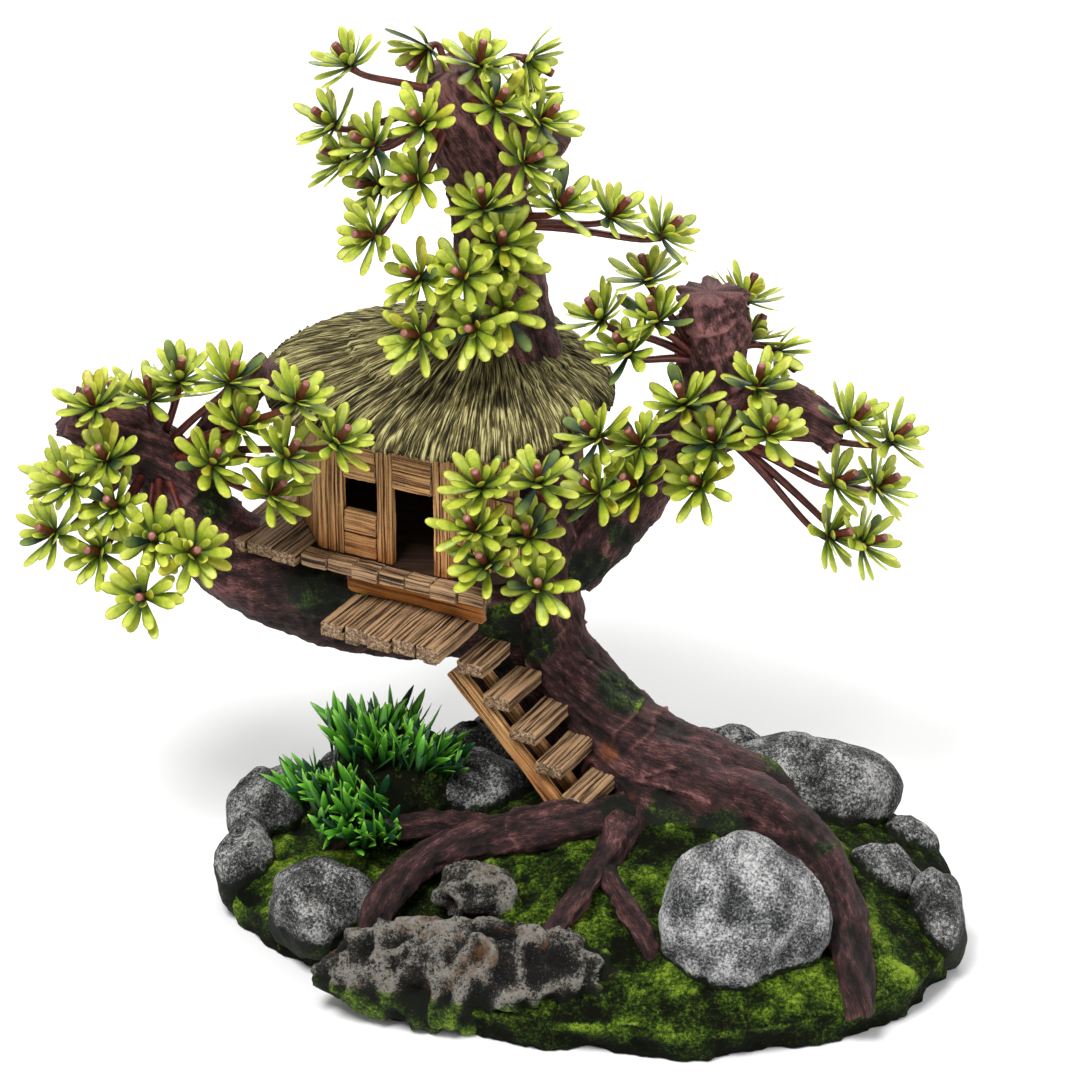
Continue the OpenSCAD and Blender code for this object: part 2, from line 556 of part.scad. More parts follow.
// A twig leaves the wood, bends, and ends under its rosette
module twig(hub, p) {
    dir = rosette_dir(hub, p);
    foot = p - dir * (peg_h + gap);
    mid = (hub + foot) / 2 + [0, 0, 3];
    limb([[hub[0], hub[1], hub[2], twig_r * 1.3], [mid[0], mid[1], mid[2], twig_r * 1.1],
        [foot[0] - dir[0] * 4, foot[1] - dir[1] * 4, foot[2] - dir[2] * 4, twig_r],
        [foot[0], foot[1], foot[2], twig_r]], 5, 1, 0, [0.2, 1, 0.1]);
}
module wood(grow) {
    trunk_shape(grow);
    trunk_stub_right_shape(grow);
    limb_left_shape(grow);
    limb_left_branch_shape(grow);
    limb_right_shape(grow);
    limb_right_stub_shape(grow);
}
module twigs(hub, list) carved() difference() {
    union() {
        translate(hub) sphere(3, $fn = 8);
        for (p = list) twig(hub, p);
    }
    wood(gap);
    wall_run(0);
    roof_shape();
    for (p = list) on_twig(hub, p) rosette_room();
}
module twigs_left() color("brown") twigs(LEFT_HUB, LEFT);
module twigs_top() color("brown") twigs(TOP_HUB, TOP);
module twigs_middle() color("brown") twigs(MIDDLE_HUB, MIDDLE);
module twigs_right_upper() color("brown") twigs(RIGHT_UPPER_HUB, RIGHT_UPPER);
module twigs_right() color("brown") twigs(RIGHT_HUB, RIGHT);
module twigs_front() color("brown") twigs(FRONT_HUB, FRONT);
module leaves_left() color("yellowgreen") leaves(LEFT_HUB, LEFT);
module leaves_top() color("yellowgreen") leaves(TOP_HUB, TOP);
module leaves_middle() color("yellowgreen") leaves(MIDDLE_HUB, MIDDLE);
module leaves_right_upper() color("yellowgreen") leaves(RIGHT_UPPER_HUB, RIGHT_UPPER);
module leaves_right() color("yellowgreen") leaves(RIGHT_HUB, RIGHT);
module leaves_front() color("yellowgreen") leaves(FRONT_HUB, FRONT);

// The grass is a set of pointed plastic clumps with their feet in the moss mound
GRASS = [[-66, 14, 30, 14], [-72, 22, 28, 12], [-58, 22, 40, 14], [-48, 18, 41, 14], [-38, 20, 38, 12],
    [-58, 8, 32, 12], [-50, 30, 41, 12], [-62, 32, 38, 12], [-64, 4, 27, 10], [-54, 2, 27, 10]];
module grass_tuft() color("forestgreen") carved() difference() {
    for (g = GRASS) let (lean = unit([g[0] + 52, g[1] - 24, 30]))
        translate([g[0], g[1], g[2] - 3]) toward(lean) cylinder(h = g[3], r1 = 2, r2 = 8, $fn = 10);
    mound_shape(gap);
    rocks(concat(ROCKS_LEFT, ROCKS_BACK), gap);
    root_left_back_shape(gap);
    ground_shape();
}

ground_base();
moss_mound();
rock_front_large();
rock_front_rough();
rocks_left();
rocks_right();
rocks_back();
trunk_lower();
trunk_upper();
trunk_stub_right();
limb_left();
limb_left_branch();
limb_right();
limb_right_stub();
root_right();
root_left_front();
root_left_back();
root_fork();
hut_floor();
front_wall_left_post();
front_wall_sill_boards();
front_wall_window_head();
front_wall_middle_post();
front_wall_door_head();
front_wall_door_post();
wall_front_left();
wall_left();
wall_back_left();
wall_back();
wall_back_right();
wall_front_right();
thatched_roof();
deck_planks_front();
deck_planks_left();
deck_fascia_board();
landing_planks();
landing_beams();
stair_treads();
stair_stringer_front();
stair_stringer_back();
twigs_left();
twigs_top();
twigs_middle();
twigs_right_upper();
twigs_right();
twigs_front();
leaves_left();
leaves_top();
leaves_middle();
leaves_right_upper();
leaves_right();
leaves_front();
grass_tuft();
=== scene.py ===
# %% [markdown]
# # A tree house ornament
# The object is a cast and painted resin ornament: a thatched plank hut in a gnarled tree, on a
# base of moss and stones, with clipped-on plastic leaves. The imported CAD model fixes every
# place and size, so the first step loads it. Everything after that only gives it its skin.

import bpy
import numpy as np
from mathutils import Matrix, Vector


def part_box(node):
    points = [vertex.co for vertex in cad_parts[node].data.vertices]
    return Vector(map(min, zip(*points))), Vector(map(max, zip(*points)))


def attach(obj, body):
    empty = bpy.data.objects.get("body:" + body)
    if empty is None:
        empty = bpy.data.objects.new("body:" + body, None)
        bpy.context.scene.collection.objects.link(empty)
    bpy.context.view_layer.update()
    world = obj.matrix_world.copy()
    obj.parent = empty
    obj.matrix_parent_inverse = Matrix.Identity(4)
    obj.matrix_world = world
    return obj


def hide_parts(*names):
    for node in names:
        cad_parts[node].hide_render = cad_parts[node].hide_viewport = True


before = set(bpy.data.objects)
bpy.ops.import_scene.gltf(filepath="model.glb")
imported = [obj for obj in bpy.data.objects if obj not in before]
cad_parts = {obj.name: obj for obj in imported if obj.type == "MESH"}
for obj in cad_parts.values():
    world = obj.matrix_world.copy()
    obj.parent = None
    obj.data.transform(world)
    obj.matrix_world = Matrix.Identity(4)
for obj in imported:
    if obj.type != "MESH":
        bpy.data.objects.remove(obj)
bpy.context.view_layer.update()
MM = 0.001
print("CAD nodes:", len(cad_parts))

# %% [markdown]
# ## Noise
# Cast bark, moss and stone are uneven at every scale. A repeatable noise gives that: numbers
# on the corners of a cubic lattice, blended smoothly between them. Blender's own noise lives
# in materials only, so this one is written in numpy and moves real points.


# %% Noise on a lattice
def corner_number(corner, seed):
    """A repeatable number from 0 to 1 for whole-number corners: they are multiplied by large
    odd numbers, joined, and scrambled by shifts."""
    h = (corner[..., 0] * 73856093) ^ (corner[..., 1] * 19349663) ^ (corner[..., 2] * 83492791)
    h = (h ^ (seed * 40503 + 12289)) & 0xFFFFFFFF
    h = ((h ^ (h >> 15)) * 739982445) & 0xFFFFFFFF
    h = ((h ^ (h >> 12)) * 695872825) & 0xFFFFFFFF
    return ((h ^ (h >> 15)) & 0xFFFF) / 65535.0


def noise(points, cell, seed=0):
    """Noise from -1 to 1 with lumps about one cell wide: the eight corner numbers round each
    point, weighted by the smooth step 3f^2 - 2f^3 of its place f in the cell."""
    place = points / cell
    corner = np.floor(place).astype(np.int64)
    f = place - corner
    f = f * f * (3 - 2 * f)
    total = 0.0
    for dx in (0, 1):
        for dy in (0, 1):
            for dz in (0, 1):
                weight = (f[..., 0] if dx else 1 - f[..., 0]) * (f[..., 1] if dy else 1 - f[..., 1])
                weight = weight * (f[..., 2] if dz else 1 - f[..., 2])
                total = total + weight * corner_number(corner + np.array([dx, dy, dz]), seed)
    return 2 * total - 1


def layers(points, cell, count=3, seed=0):
    """Noise in layers: each one has half the cell and half the height of the one before."""
    total, weight = 0.0, 0.0
    for k in range(count):
        total = total + 0.5**k * noise(points, cell / 2**k, seed + 17 * k)
        weight += 0.5**k
    return total / weight


print("noise at one point:", float(noise(np.array([[1.0, 2.0, 3.0]]), 4.0)[0]))

# %% [markdown]
# ## From a grid to a piece
# Nearly every piece here is a grid of points: rings of points along a limb, round a stone or
# out from the middle of the base. One helper closes a grid into a skin, and another joins
# skins into one mesh object that rides on the CAD body and hides the nodes it stands for.
# Whole arrays go into the mesh at once, which is far quicker than adding vertices one by one.


# %% Close a grid, and make a piece
def skin(grid, caps=(True, True), **marks):
    """A closed skin from a grid (rings, columns, 3) in millimetres: each ring joins the next,
    the last column joins the first, and a cap joins an end ring to its middle. Each mark is a
    number, or three numbers, per grid point that a finish can read."""
    rings, columns = grid.shape[:2]
    here = np.arange(rings * columns).reshape(rings, columns)
    beside = np.roll(here, -1, axis=1)
    quads = np.stack([here[:-1], beside[:-1], beside[1:], here[1:]], -1).reshape(-1, 4)
    points, tris = [grid.reshape(-1, 3)], []
    marks = {k: [np.broadcast_to(v, (rings, columns) + np.shape(v)[2:]).reshape(here.size, -1)]
             for k, v in marks.items()}
    for end in (0, -1):
        if caps[end]:
            middle = sum(len(p) for p in points)
            points.append(grid[end].mean(axis=0)[None])
            a, b = (beside[end], here[end]) if end == 0 else (here[end], beside[end])
            tris.append(np.stack([np.full(columns, middle), a, b], -1))
            for values in marks.values():
                values.append(values[0].reshape(rings, columns, -1)[end].mean(axis=0)[None])
    tris = np.concatenate(tris) if tris else np.zeros((0, 3), int)
    points = np.concatenate(points)
    corner = points[np.concatenate([quads[:, :3], quads[:, [0, 2, 3]], tris])]
    volume = np.einsum("ij,ij->", corner[:, 0], np.cross(corner[:, 1], corner[:, 2]))
    if volume < 0:
        quads, tris = quads[:, ::-1], tris[:, ::-1]
    return {"points": points, "quads": quads, "tris": tris,
            "marks": {k: np.concatenate(v) for k, v in marks.items()}}


made = {}


def piece(name, skins, finish, slot, *hides):
    """Joins skins into one mesh object at the origin, which stands for the hidden CAD nodes,
    and notes its triangles in made."""
    starts = np.cumsum([0] + [len(s["points"]) for s in skins])
    points = np.concatenate([s["points"] for s in skins]) * MM
    quads = np.concatenate([s["quads"] + k for s, k in zip(skins, starts)])
    tris = np.concatenate([s["tris"] + k for s, k in zip(skins, starts)])
    loops = np.concatenate([quads.ravel(), tris.ravel()]).astype(np.int32)
    first = np.concatenate([np.arange(len(quads)) * 4, len(quads) * 4 + np.arange(len(tris)) * 3])
    mesh = bpy.data.meshes.new(name)
    mesh.vertices.add(len(points))
    mesh.vertices.foreach_set("co", points.astype(np.float32).ravel())
    mesh.loops.add(len(loops))
    mesh.loops.foreach_set("vertex_index", loops)
    mesh.polygons.add(len(first))
    mesh.polygons.foreach_set("loop_start", first.astype(np.int32))
    mesh.update(calc_edges=True)
    mesh.polygons.foreach_set("use_smooth", np.ones(len(first), bool))
    for key in skins[0]["marks"]:
        values = np.concatenate([s["marks"][key] for s in skins]).astype(np.float32)
        kind, field = ("FLOAT", "value") if values.shape[1] == 1 else ("FLOAT_VECTOR", "vector")
        mesh.attributes.new(key, kind, "POINT").data.foreach_set(field, values.ravel())
    mesh.materials.append(finish)
    thing = bpy.data.objects.new(name, mesh)
    bpy.context.scene.collection.objects.link(thing)
    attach(thing, "root")
    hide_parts(*hides)
    made[name] = 2 * len(quads) + len(tris)
    print(f"{name}: {made[name]} triangles, for {', '.join(hides)}")


# %% [markdown]
# ## What the CAD says
# A node can hold several solids, such as the treads of the stair. Their corners are read
# straight from the node's mesh and sorted into solids, so that each board or rosette of the
# skin lands exactly where the CAD has it.


# %% Read the solids of a node
def solids(node):
    """The separate solids of a node, each as its corner points in millimetres. Every corner
    takes the lowest number among its triangles' corners, until nothing changes."""
    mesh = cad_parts[node].data
    points = np.empty(len(mesh.vertices) * 3, np.float32)
    mesh.vertices.foreach_get("co", points)
    mesh.calc_loop_triangles()
    tri = np.empty(len(mesh.loop_triangles) * 3, np.int32)
    mesh.loop_triangles.foreach_get("vertices", tri)
    cell = np.round(points.reshape(-1, 3).astype(float) / MM * 1000).astype(np.int64)
    corners, number = np.unique(cell, axis=0, return_inverse=True)
    tri = number.reshape(-1)[tri].reshape(-1, 3)
    label = np.arange(len(corners))
    while True:
        new = label.copy()
        np.minimum.at(new, tri.ravel(), np.repeat(label[tri].min(axis=1), 3))
        new = new[new]
        if (new == label).all():
            break
        label = new
    return [corners[label == k] / 1000.0 for k in np.unique(label)]


print("treads in the CAD:", len(solids("stair_treads")))

# %% [markdown]
# ## Mixing a finish
# Each finish is a small node graph: object coordinates in metres, some noise, a colour ramp
# and a bump. A helper class keeps the graphs short and readable.


# %% A small mixing bench for finishes
def tint(red, green, blue):
    """A colour as seen on a screen, 0 to 255, made linear by the sRGB curve."""
    c = np.array([red, green, blue]) / 255.0
    c = np.where(c <= 0.04045, c / 12.92, ((c + 0.055) / 1.055) ** 2.4)
    return (*c.tolist(), 1.0)


class Finish:
    """One material: each method adds a node and hands back its output."""

    def __init__(self, name):
        self.material = bpy.data.materials.new(name)
        self.material.use_nodes = True
        self.tree = self.material.node_tree
        self.shader = self.tree.nodes["Principled BSDF"]
        self.here = self.add("ShaderNodeTexCoord").outputs["Object"]

    def add(self, kind, links=None, **settings):
        node = self.tree.nodes.new(kind)
        for key, value in settings.items():
            setattr(node, key, value)
        for key, value in (links or {}).items():
            if hasattr(value, "is_output"):
                self.tree.links.new(value, node.inputs[key])
            else:
                node.inputs[key].default_value = value
        return node

    def mark(self, name, output="Fac"):
        return self.add("ShaderNodeAttribute", attribute_name=name).outputs[output]

    def grain(self, size_mm, detail=4.0, rough=0.6, stretch=(1, 1, 1), along=None):
        """Noise with lumps of about size_mm, longer along an axis whose stretch is above 1. It
        reads object coordinates, or a mark that holds a place along the fibres."""
        place = self.here if along is None else self.mark(along, "Vector")
        place = self.add("ShaderNodeMapping", {"Vector": place,
                                               "Scale": tuple(1 / s for s in stretch)}).outputs[0]
        return self.add("ShaderNodeTexNoise", {"Vector": place, "Scale": 1 / (size_mm * MM),
                                               "Detail": detail, "Roughness": rough}).outputs[0]

    def specks(self, size_mm):
        """The distance to the nearest of many scattered points, for grains and pits."""
        return self.add("ShaderNodeTexVoronoi",
                        {"Vector": self.here, "Scale": 1 / (size_mm * MM)}).outputs["Distance"]

    def ramp(self, value, *stops):
        """Colours or greys along a value: each stop is (place, colour)."""
        node = self.add("ShaderNodeValToRGB", {"Fac": value})
        for k, (place, colour) in enumerate(stops):
            stop = node.color_ramp.elements[k] if k < 2 else node.color_ramp.elements.new(place)
            stop.position = place
            stop.color = colour if hasattr(colour, "__len__") else (colour, colour, colour, 1)
        return node.outputs[0]

    def mix(self, share, first, second, way="MIX"):
        node = self.add("ShaderNodeMix", data_type="RGBA", blend_type=way)
        for key, value in (("Factor_Float", share), ("A_Color", first), ("B_Color", second)):
            socket = next(s for s in node.inputs if s.identifier == key)
            if hasattr(value, "is_output"):
                self.tree.links.new(value, socket)
            else:
                socket.default_value = value
        return next(s for s in node.outputs if s.identifier == "Result_Color")

    def maths(self, way, first, second):
        return self.add("ShaderNodeMath", {0: first, 1: second}, operation=way).outputs[0]

    def total(self, *parts):
        """The sum of its parts, each a value, a number, or a pair of value and weight."""
        parts = [self.maths("MULTIPLY", *p) if isinstance(p, tuple) else p for p in parts]
        total = parts[0]
        for part in parts[1:]:
            total = self.maths("ADD", total, part)
        return total

    def finish(self, colour, roughness, height=None, depth_mm=0.2, strength=0.7, gloss=0.3):
        """Ties colour, roughness and bump to the shader, and hands back the material."""
        self.tree.links.new(colour, self.shader.inputs["Base Color"])
        if hasattr(roughness, "is_output"):
            self.tree.links.new(roughness, self.shader.inputs["Roughness"])
        else:
            self.shader.inputs["Roughness"].default_value = roughness
        self.shader.inputs["Specular IOR Level"].default_value = gloss
        if height is not None:
            bump = self.add("ShaderNodeBump", {"Height": height, "Strength": strength,
                                               "Distance": depth_mm * MM})
            self.tree.links.new(bump.outputs[0], self.shader.inputs["Normal"])
        return self.material


# %% [markdown]
# ## Moss and stone
# The base is painted in layers: almost black green in the hollows, a mossy green dry-brushed
# over it, and yellow-green on the high spots. Stones get a grey base with white and black
# specks. The mark "crest" says how high each point of the cast relief stands, so the brush
# colour lands on real ridges, and finer noise breaks it up.

# %% Moss finish
MOSS_DARK, MOSS_DEEP = tint(9, 13, 2), tint(30, 43, 10)
MOSS_GREEN, MOSS_BRIGHT = tint(66, 92, 20), tint(136, 160, 48)


def moss_colour(f, crest, gloom=0.0):
    """Dark to bright green by relief plus fine noise, less a gloom, with a few ochre tufts."""
    fine = f.grain(0.9, 8, 0.85)
    value = f.total((crest, 0.26), fine, (f.grain(9, 4), 0.3), -gloom)
    green = f.ramp(value, (0.7, MOSS_DARK), (0.78, MOSS_DEEP), (0.87, MOSS_GREEN),
                   (0.98, MOSS_BRIGHT))
    tuft = f.ramp(f.grain(4.5, 5, 0.7), (0.6, 0.0), (0.68, 0.8))
    tuft = f.maths("MULTIPLY", tuft, f.ramp(fine, (0.5, 0.0), (0.6, 0.7)))
    return f.mix(tuft, green, tint(140, 128, 36))


def moss(name, gloom):
    """Moss, with bare earth where the mark "bare" says so."""
    f = Finish(name)
    fine = f.grain(0.8, 7, 0.8)
    earth = f.ramp(f.grain(1.6, 6, 0.75), (0.38, tint(12, 11, 8)), (0.54, tint(44, 40, 34)),
                   (0.7, tint(104, 98, 88)))
    bare = f.ramp(f.total(f.mark("bare"), (f.grain(5, 4), 0.6)), (0.62, 0.0), (0.82, 1.0))
    colour = f.mix(bare, moss_colour(f, f.mark("crest"), gloom), earth)
    return f.finish(colour, 0.85, fine, 0.7, 1.0, 0.1)


moss_finish, dark_moss_finish = moss("painted_moss", 0.0), moss("dark_moss", 0.14)
print("finishes:", moss_finish.name, dark_moss_finish.name)


# %% Stone finishes
def stone(name, dark, middle, light, speck_mm, wash):
    """Grey stone: noise from dark to light, light flecks, hard black pits, a brown wash, and
    moss low down where the mark "moss" says so."""
    f = Finish(name)
    fine = f.grain(speck_mm, 9, 0.85)
    value = f.total((f.mark("crest"), 0.2), (fine, 1.4), (f.grain(9, 5), 0.55), -0.375)
    grey = f.ramp(value, (0.6, dark), (0.72, middle), (0.85, light))
    flecks = f.ramp(f.grain(0.5, 4, 0.7), (0.6, 0.0), (0.68, 0.6))
    grey = f.mix(flecks, grey, light)
    pits = f.ramp(f.specks(speck_mm * 1.5), (0.14, 1.0), (0.26, 0.0))
    grey = f.mix(f.maths("MULTIPLY", pits, 0.85), grey, tint(20, 19, 18))
    stain = f.ramp(f.grain(9, 5, 0.75), (0.56, 0.0), (0.66, wash))
    grey = f.mix(stain, grey, tint(96, 66, 40))
    green = f.ramp(f.total(f.mark("moss"), (f.grain(2, 7, 0.8), 0.9)), (0.72, 0.0), (0.84, 1.0))
    colour = f.mix(green, grey, moss_colour(f, f.mark("crest"), 0.1))
    return f.finish(colour, 0.75, f.total(fine, (pits, -0.3)), 0.5, 1.0, 0.2)


pale_stone = stone("pale_stone", tint(30, 31, 31), tint(120, 121, 121), tint(208, 208, 207),
                   speck_mm=0.7, wash=0.0)
grey_stone = stone("grey_stone", tint(20, 20, 20), tint(80, 80, 79), tint(184, 184, 182),
                   speck_mm=0.8, wash=0.1)
dark_stone = stone("dark_stone", tint(10, 9, 8), tint(38, 36, 31), tint(132, 128, 120),
                   speck_mm=0.9, wash=0.8)
print("finishes:", pale_stone.name, grey_stone.name, dark_stone.name)

# %% [markdown]
# ## Bark
# The tree is cast in one with the base and painted a dark purple brown, with a pinkish dry
# brush on its ridges, moss in patches, and a rusty wash beside the stair. It is a little
# lighter towards the top of the tree.

# %% Bark finish
EVEN_HEIGHT = 85 * MM
f = Finish("painted_bark")
crest = f.mark("crest")
fine = f.total((f.grain(0.42, 5, 0.8, along="fibre"), 0.7), (f.grain(0.5, 6, 0.85), 0.3))
height = f.add("ShaderNodeSeparateXYZ", {"Vector": f.here}).outputs["Z"]
value = f.total((crest, 0.26), (fine, 1.1), (f.grain(13, 4), 0.2),
                (f.maths("SUBTRACT", height, EVEN_HEIGHT), 0.8))
bark = f.ramp(value, (0.64, tint(13, 7, 6)), (0.75, tint(44, 27, 26)), (0.86, tint(78, 48, 47)),
              (1.0, tint(146, 98, 96)))
rust = f.ramp(f.total(f.mark("rust"), (f.grain(3, 6, 0.8), 0.8)), (0.75, 0.0), (1.0, 0.75))
bark = f.mix(rust, bark, f.ramp(value, (0.7, tint(50, 24, 12)), (0.95, tint(150, 86, 44))))
green = f.ramp(f.total(f.mark("moss"), (f.grain(1.6, 7, 0.8), 0.9)), (0.86, 0.0), (1.0, 1.0))
bark_finish = f.finish(f.mix(green, bark, moss_colour(f, crest, 0.1)), 0.62, fine, 0.9, 1.0, 0.3)
print("finish:", bark_finish.name)


# %% [markdown]
# ## Boards
# The planks are cast with deep saw grooves. The grooves stay dark, the ridges between them are
# brushed tan, sawn ends are pale and speckled, and an orange wash sits low on the walls and on
# the foot of the stringers.

# %% Board finishes
def boards(name, dark, middle, light, end):
    """Painted board: dark in the saw grooves, tan on the ridges, speckled on sawn ends."""
    f = Finish(name)
    fine = f.total((f.grain(0.42, 2, 0.6, (4, 1, 1), "fibre"), 0.75), (f.grain(0.5, 6, 0.8), 0.25))
    value = f.total((f.mark("crest"), 0.3), (fine, 1.3), (f.grain(9, 4), 0.2))
    wood = f.ramp(value, (0.68, dark), (0.82, middle), (1.0, light))
    sawn = f.ramp(f.grain(0.8, 7, 0.8), (0.36, tint(52, 34, 20)), (0.5, end),
                  (0.62, tint(206, 182, 148)))
    wood = f.mix(f.mark("end"), wood, sawn)
    wash = f.maths("MULTIPLY", f.mark("stain"), f.ramp(f.grain(4, 4), (0.35, 0.3), (0.65, 0.95)))
    wood = f.mix(wash, wood, f.ramp(value, (0.66, tint(60, 26, 8)), (0.95, tint(176, 106, 50))))
    return f.finish(wood, 0.66, fine, 0.5, 1.0, 0.3)


board_finish = boards("hut_boards", tint(34, 16, 6), tint(126, 83, 44), tint(206, 160, 104),
                      tint(132, 104, 74))
deck_finish = boards("deck_boards", tint(20, 12, 7), tint(80, 56, 36), tint(174, 140, 104),
                     tint(116, 88, 64))
fascia_finish = boards("orange_board", tint(56, 26, 6), tint(136, 78, 30), tint(190, 122, 56),
                       tint(150, 90, 42))
print("finishes:", board_finish.name, deck_finish.name, fascia_finish.name)

# %% [markdown]
# ## The tree
# Each limb is a ring of points carried along a smooth line, as a sculptor rolls a coil of
# putty and then combs it. The line and radius follow the CAD's own paths, apart from the flank
# of the trunk beside the stair and the web under it, which are skin only. Fibres run along the
# limb with a slow twist, because straight ones look like pipe.


# %% Carry a ring along a path
def smooth_line(path, count):
    """Rows spaced evenly along the Catmull-Rom curve through the rows of a path, with the
    path's own row number u and the length s so far."""
    rows = np.asarray(path, float)
    held = np.vstack([rows[:1], rows, rows[-1:]])

    def at(u):
        k = np.minimum(u.astype(int), len(rows) - 2)
        t = (u - k)[:, None]
        p0, p1, p2, p3 = held[k], held[k + 1], held[k + 2], held[k + 3]
        return 0.5 * (2 * p1 + (p2 - p0) * t + (2 * p0 - 5 * p1 + 4 * p2 - p3) * t**2
                      + (3 * p1 - p0 - 3 * p2 + p3) * t**3)

    fine = np.linspace(0, len(rows) - 1, 400)
    step = np.linalg.norm(np.diff(at(fine)[:, :3], axis=0), axis=1)
    length = np.concatenate([[0], np.cumsum(step)])
    s = np.linspace(0, length[-1], count)
    u = np.interp(s, length, fine)
    return at(u), u, s


def frame_along(centre, side):
    """Unit vectors along and across a line: across = side x along, and up = along x across."""
    along = np.gradient(centre, axis=0)
    along /= np.linalg.norm(along, axis=1, keepdims=True)
    across = np.cross(side, along)
    across /= np.linalg.norm(across, axis=1, keepdims=True)
    return along, across, np.cross(along, across)


def moss_at(points, spots):
    """Moss from 0 to 1: the highest of round patches, each 1 at its middle and fading out."""
    spots = np.asarray(spots, float).reshape(-1, 4)
    far = np.linalg.norm(points[..., None, :] - spots[:, :3], axis=-1) / spots[:, 3]
    return np.exp(-far**2).max(axis=-1)


NOWHERE = ((0, 0, 0, 0.01),)  # one patch too small to show


def limb(path, rings, columns, seed, steps=2, lobe=0.06, side=(0, 1, 0), moss=NOWHERE,
         rust=NOWHERE, folds=(), creases=(), flutes=0.0, blunt=0.0, gnarl=1.0, cut=None):
    """A limb: radius times (1 + lobe sin(3w + 50i) + lobe/2 cos(5w - 70i)) with angles in
    degrees, where w goes round it and i is steps times its path's row number. Fibres, lumps,
    raised folds round it, creases between two points, and flutes at its foot are added."""
    rows, u, s = smooth_line(path, rings)
    along, across, up = frame_along(rows[:, :3], side)
    w = np.linspace(0, 2 * np.pi, columns, endpoint=False)[None]
    i = np.radians(steps * u)[:, None]
    radius = rows[:, 3:4] * (1 + lobe * np.sin(3 * w + 50 * i) + lobe / 2 * np.cos(5 * w - 70 * i))
    out = np.cos(w)[..., None] * across[:, None] + np.sin(w)[..., None] * up[:, None]
    wide = rows[:, 3].mean()
    turn = w + 0.03 * s[:, None]
    comb = np.stack([wide * np.cos(turn), wide * np.sin(turn),
                     np.broadcast_to(s[:, None] / 5, turn.shape)], -1)
    fibre = layers(comb, 1.4, 3, seed)
    base = rows[:, None, :3] + radius[..., None] * out
    lump = layers(base, 8, 2, seed + 5)
    knots = 1 - np.abs(2 * layers(base, 3.2, 2, seed + 6))
    height = 0.75 * fibre + 1.1 * lump + 0.45 * knots - 0.3
    crest = 0.45 + 0.8 * fibre + 0.25 * lump + 0.3 * knots
    if flutes:
        foot = np.exp(-(s[:, None] / 26) ** 2) * np.sin(7 * w + 0.04 * s[:, None] + 0.6)
        height = height + flutes * foot
        crest = crest + 0.2 * foot
    for place, wave, tall in folds:
        off = (s[:, None] - place - wave * np.sin(w + 1.3) - 1.8 * noise(base, 5, seed + 2)) / 0.6
        ridge = np.exp(-off**2) * tall * np.clip(0.7 + 1.2 * noise(base, 7, seed + 4), 0, 1.3)
        height = height + ridge
        crest = crest + 0.6 * ridge
    for start, end, tall in creases:
        start, end = np.asarray(start, float), np.asarray(end, float)
        run = np.clip((base - start) @ (end - start) / ((end - start) @ (end - start)), 0, 1)
        gap = base - start - run[..., None] * (end - start)
        near = np.linalg.norm(gap, axis=-1) < 14
        gap = gap - np.sum(gap * out, axis=-1)[..., None] * out
        off = np.linalg.norm(gap + [0, 0, 1] * noise(base, 5, seed + 9)[..., None], axis=-1) / 0.55
        ridge = np.exp(-off**2) * tall * near
        height = height + ridge
        crest = crest + 0.45 * ridge
    green = moss_at(base, moss) + 0.25 * layers(base, 6, 2, seed + 8)
    tufts = np.clip(green * 1.6 - 0.5, 0, 1)
    height = height + tufts * (0.5 + 0.8 * layers(base, 1.6, 2, seed + 11))
    grid = base + height[..., None] * out
    if blunt:
        ends = np.clip(1 - (s[-1] - s) / blunt, 0, 1)[:, None, None]
        knob = layers(base, 2.8, 3, seed + 3)[..., None]
        grid = grid + ends * (along[-1] * 1.8 + out * gnarl) * knob
        crest = crest + 0.3 * ends[..., 0] * knots
    if cut is not None:
        point, normal = (np.asarray(v, float) for v in cut)
        normal = normal / np.linalg.norm(normal)
        above = np.maximum((grid - point) @ normal, 0)
        grid = grid - above[..., None] * normal
    grid[..., 2] = np.maximum(grid[..., 2], 0)
    return skin(grid, crest=crest, moss=np.clip(green, 0, 1), rust=moss_at(base, rust),
                fibre=comb * MM)


# %% The paths of the tree, each row x, y, z and radius
TRUNK = [[30, 18, 14, 30], [24, 20, 26, 21], [12, 25, 39, 14], [0, 30, 52, 10.5],
         [-9, 36, 63, 9.5], [-12, 43, 75, 10], [-12, 49, 88, 12], [-15, 56, 108, 12.5],
         [-20, 64, 138, 11], [-23, 67, 160, 10.5], [-26, 68, 178, 10], [-31, 67, 196, 10],
         [-34, 66, 214, 9.5]]
LIMB_LEFT = [[-10, 44, 66, 13], [-28, 47, 69, 14], [-50, 51, 69, 14.5], [-74, 54, 71, 14],
             [-93, 57, 78, 12], [-103, 57, 92, 10.5], [-110, 56, 105, 9.5], [-119, 54, 115, 8.5],
             [-133, 52, 124, 7.5]]
LIMB_LEFT_BRANCH = [[-101, 57, 104, 6], [-97, 54, 115, 5.5], [-89, 50, 128, 4.8],
                    [-82, 47, 138, 4]]
LIMB_RIGHT = [[-6, 46, 80, 9], [2, 48, 89, 9], [11, 50, 100, 8.5], [21, 52, 111, 8.5],
              [34, 52, 120, 8], [47, 49, 127, 6.5], [56, 46, 125, 5.5], [64, 44, 119, 4.5]]
LIMB_RIGHT_STUB = [[30, 53, 119, 7], [32.5, 54, 128, 9], [32, 54, 140, 9], [31, 54, 156, 7.5]]
TRUNK_STUB = [[-24, 67, 180, 6], [-17, 63, 189, 7], [-10, 58, 199, 6.5]]
ROOT_RIGHT = [[24, 22, 30, 9], [42, 9, 32, 8], [56, -6, 29, 6.5], [63, -23, 23, 5.5],
              [65, -37, 17, 5.5], [66, -48, 11, 5], [67, -52, 6, 4]]
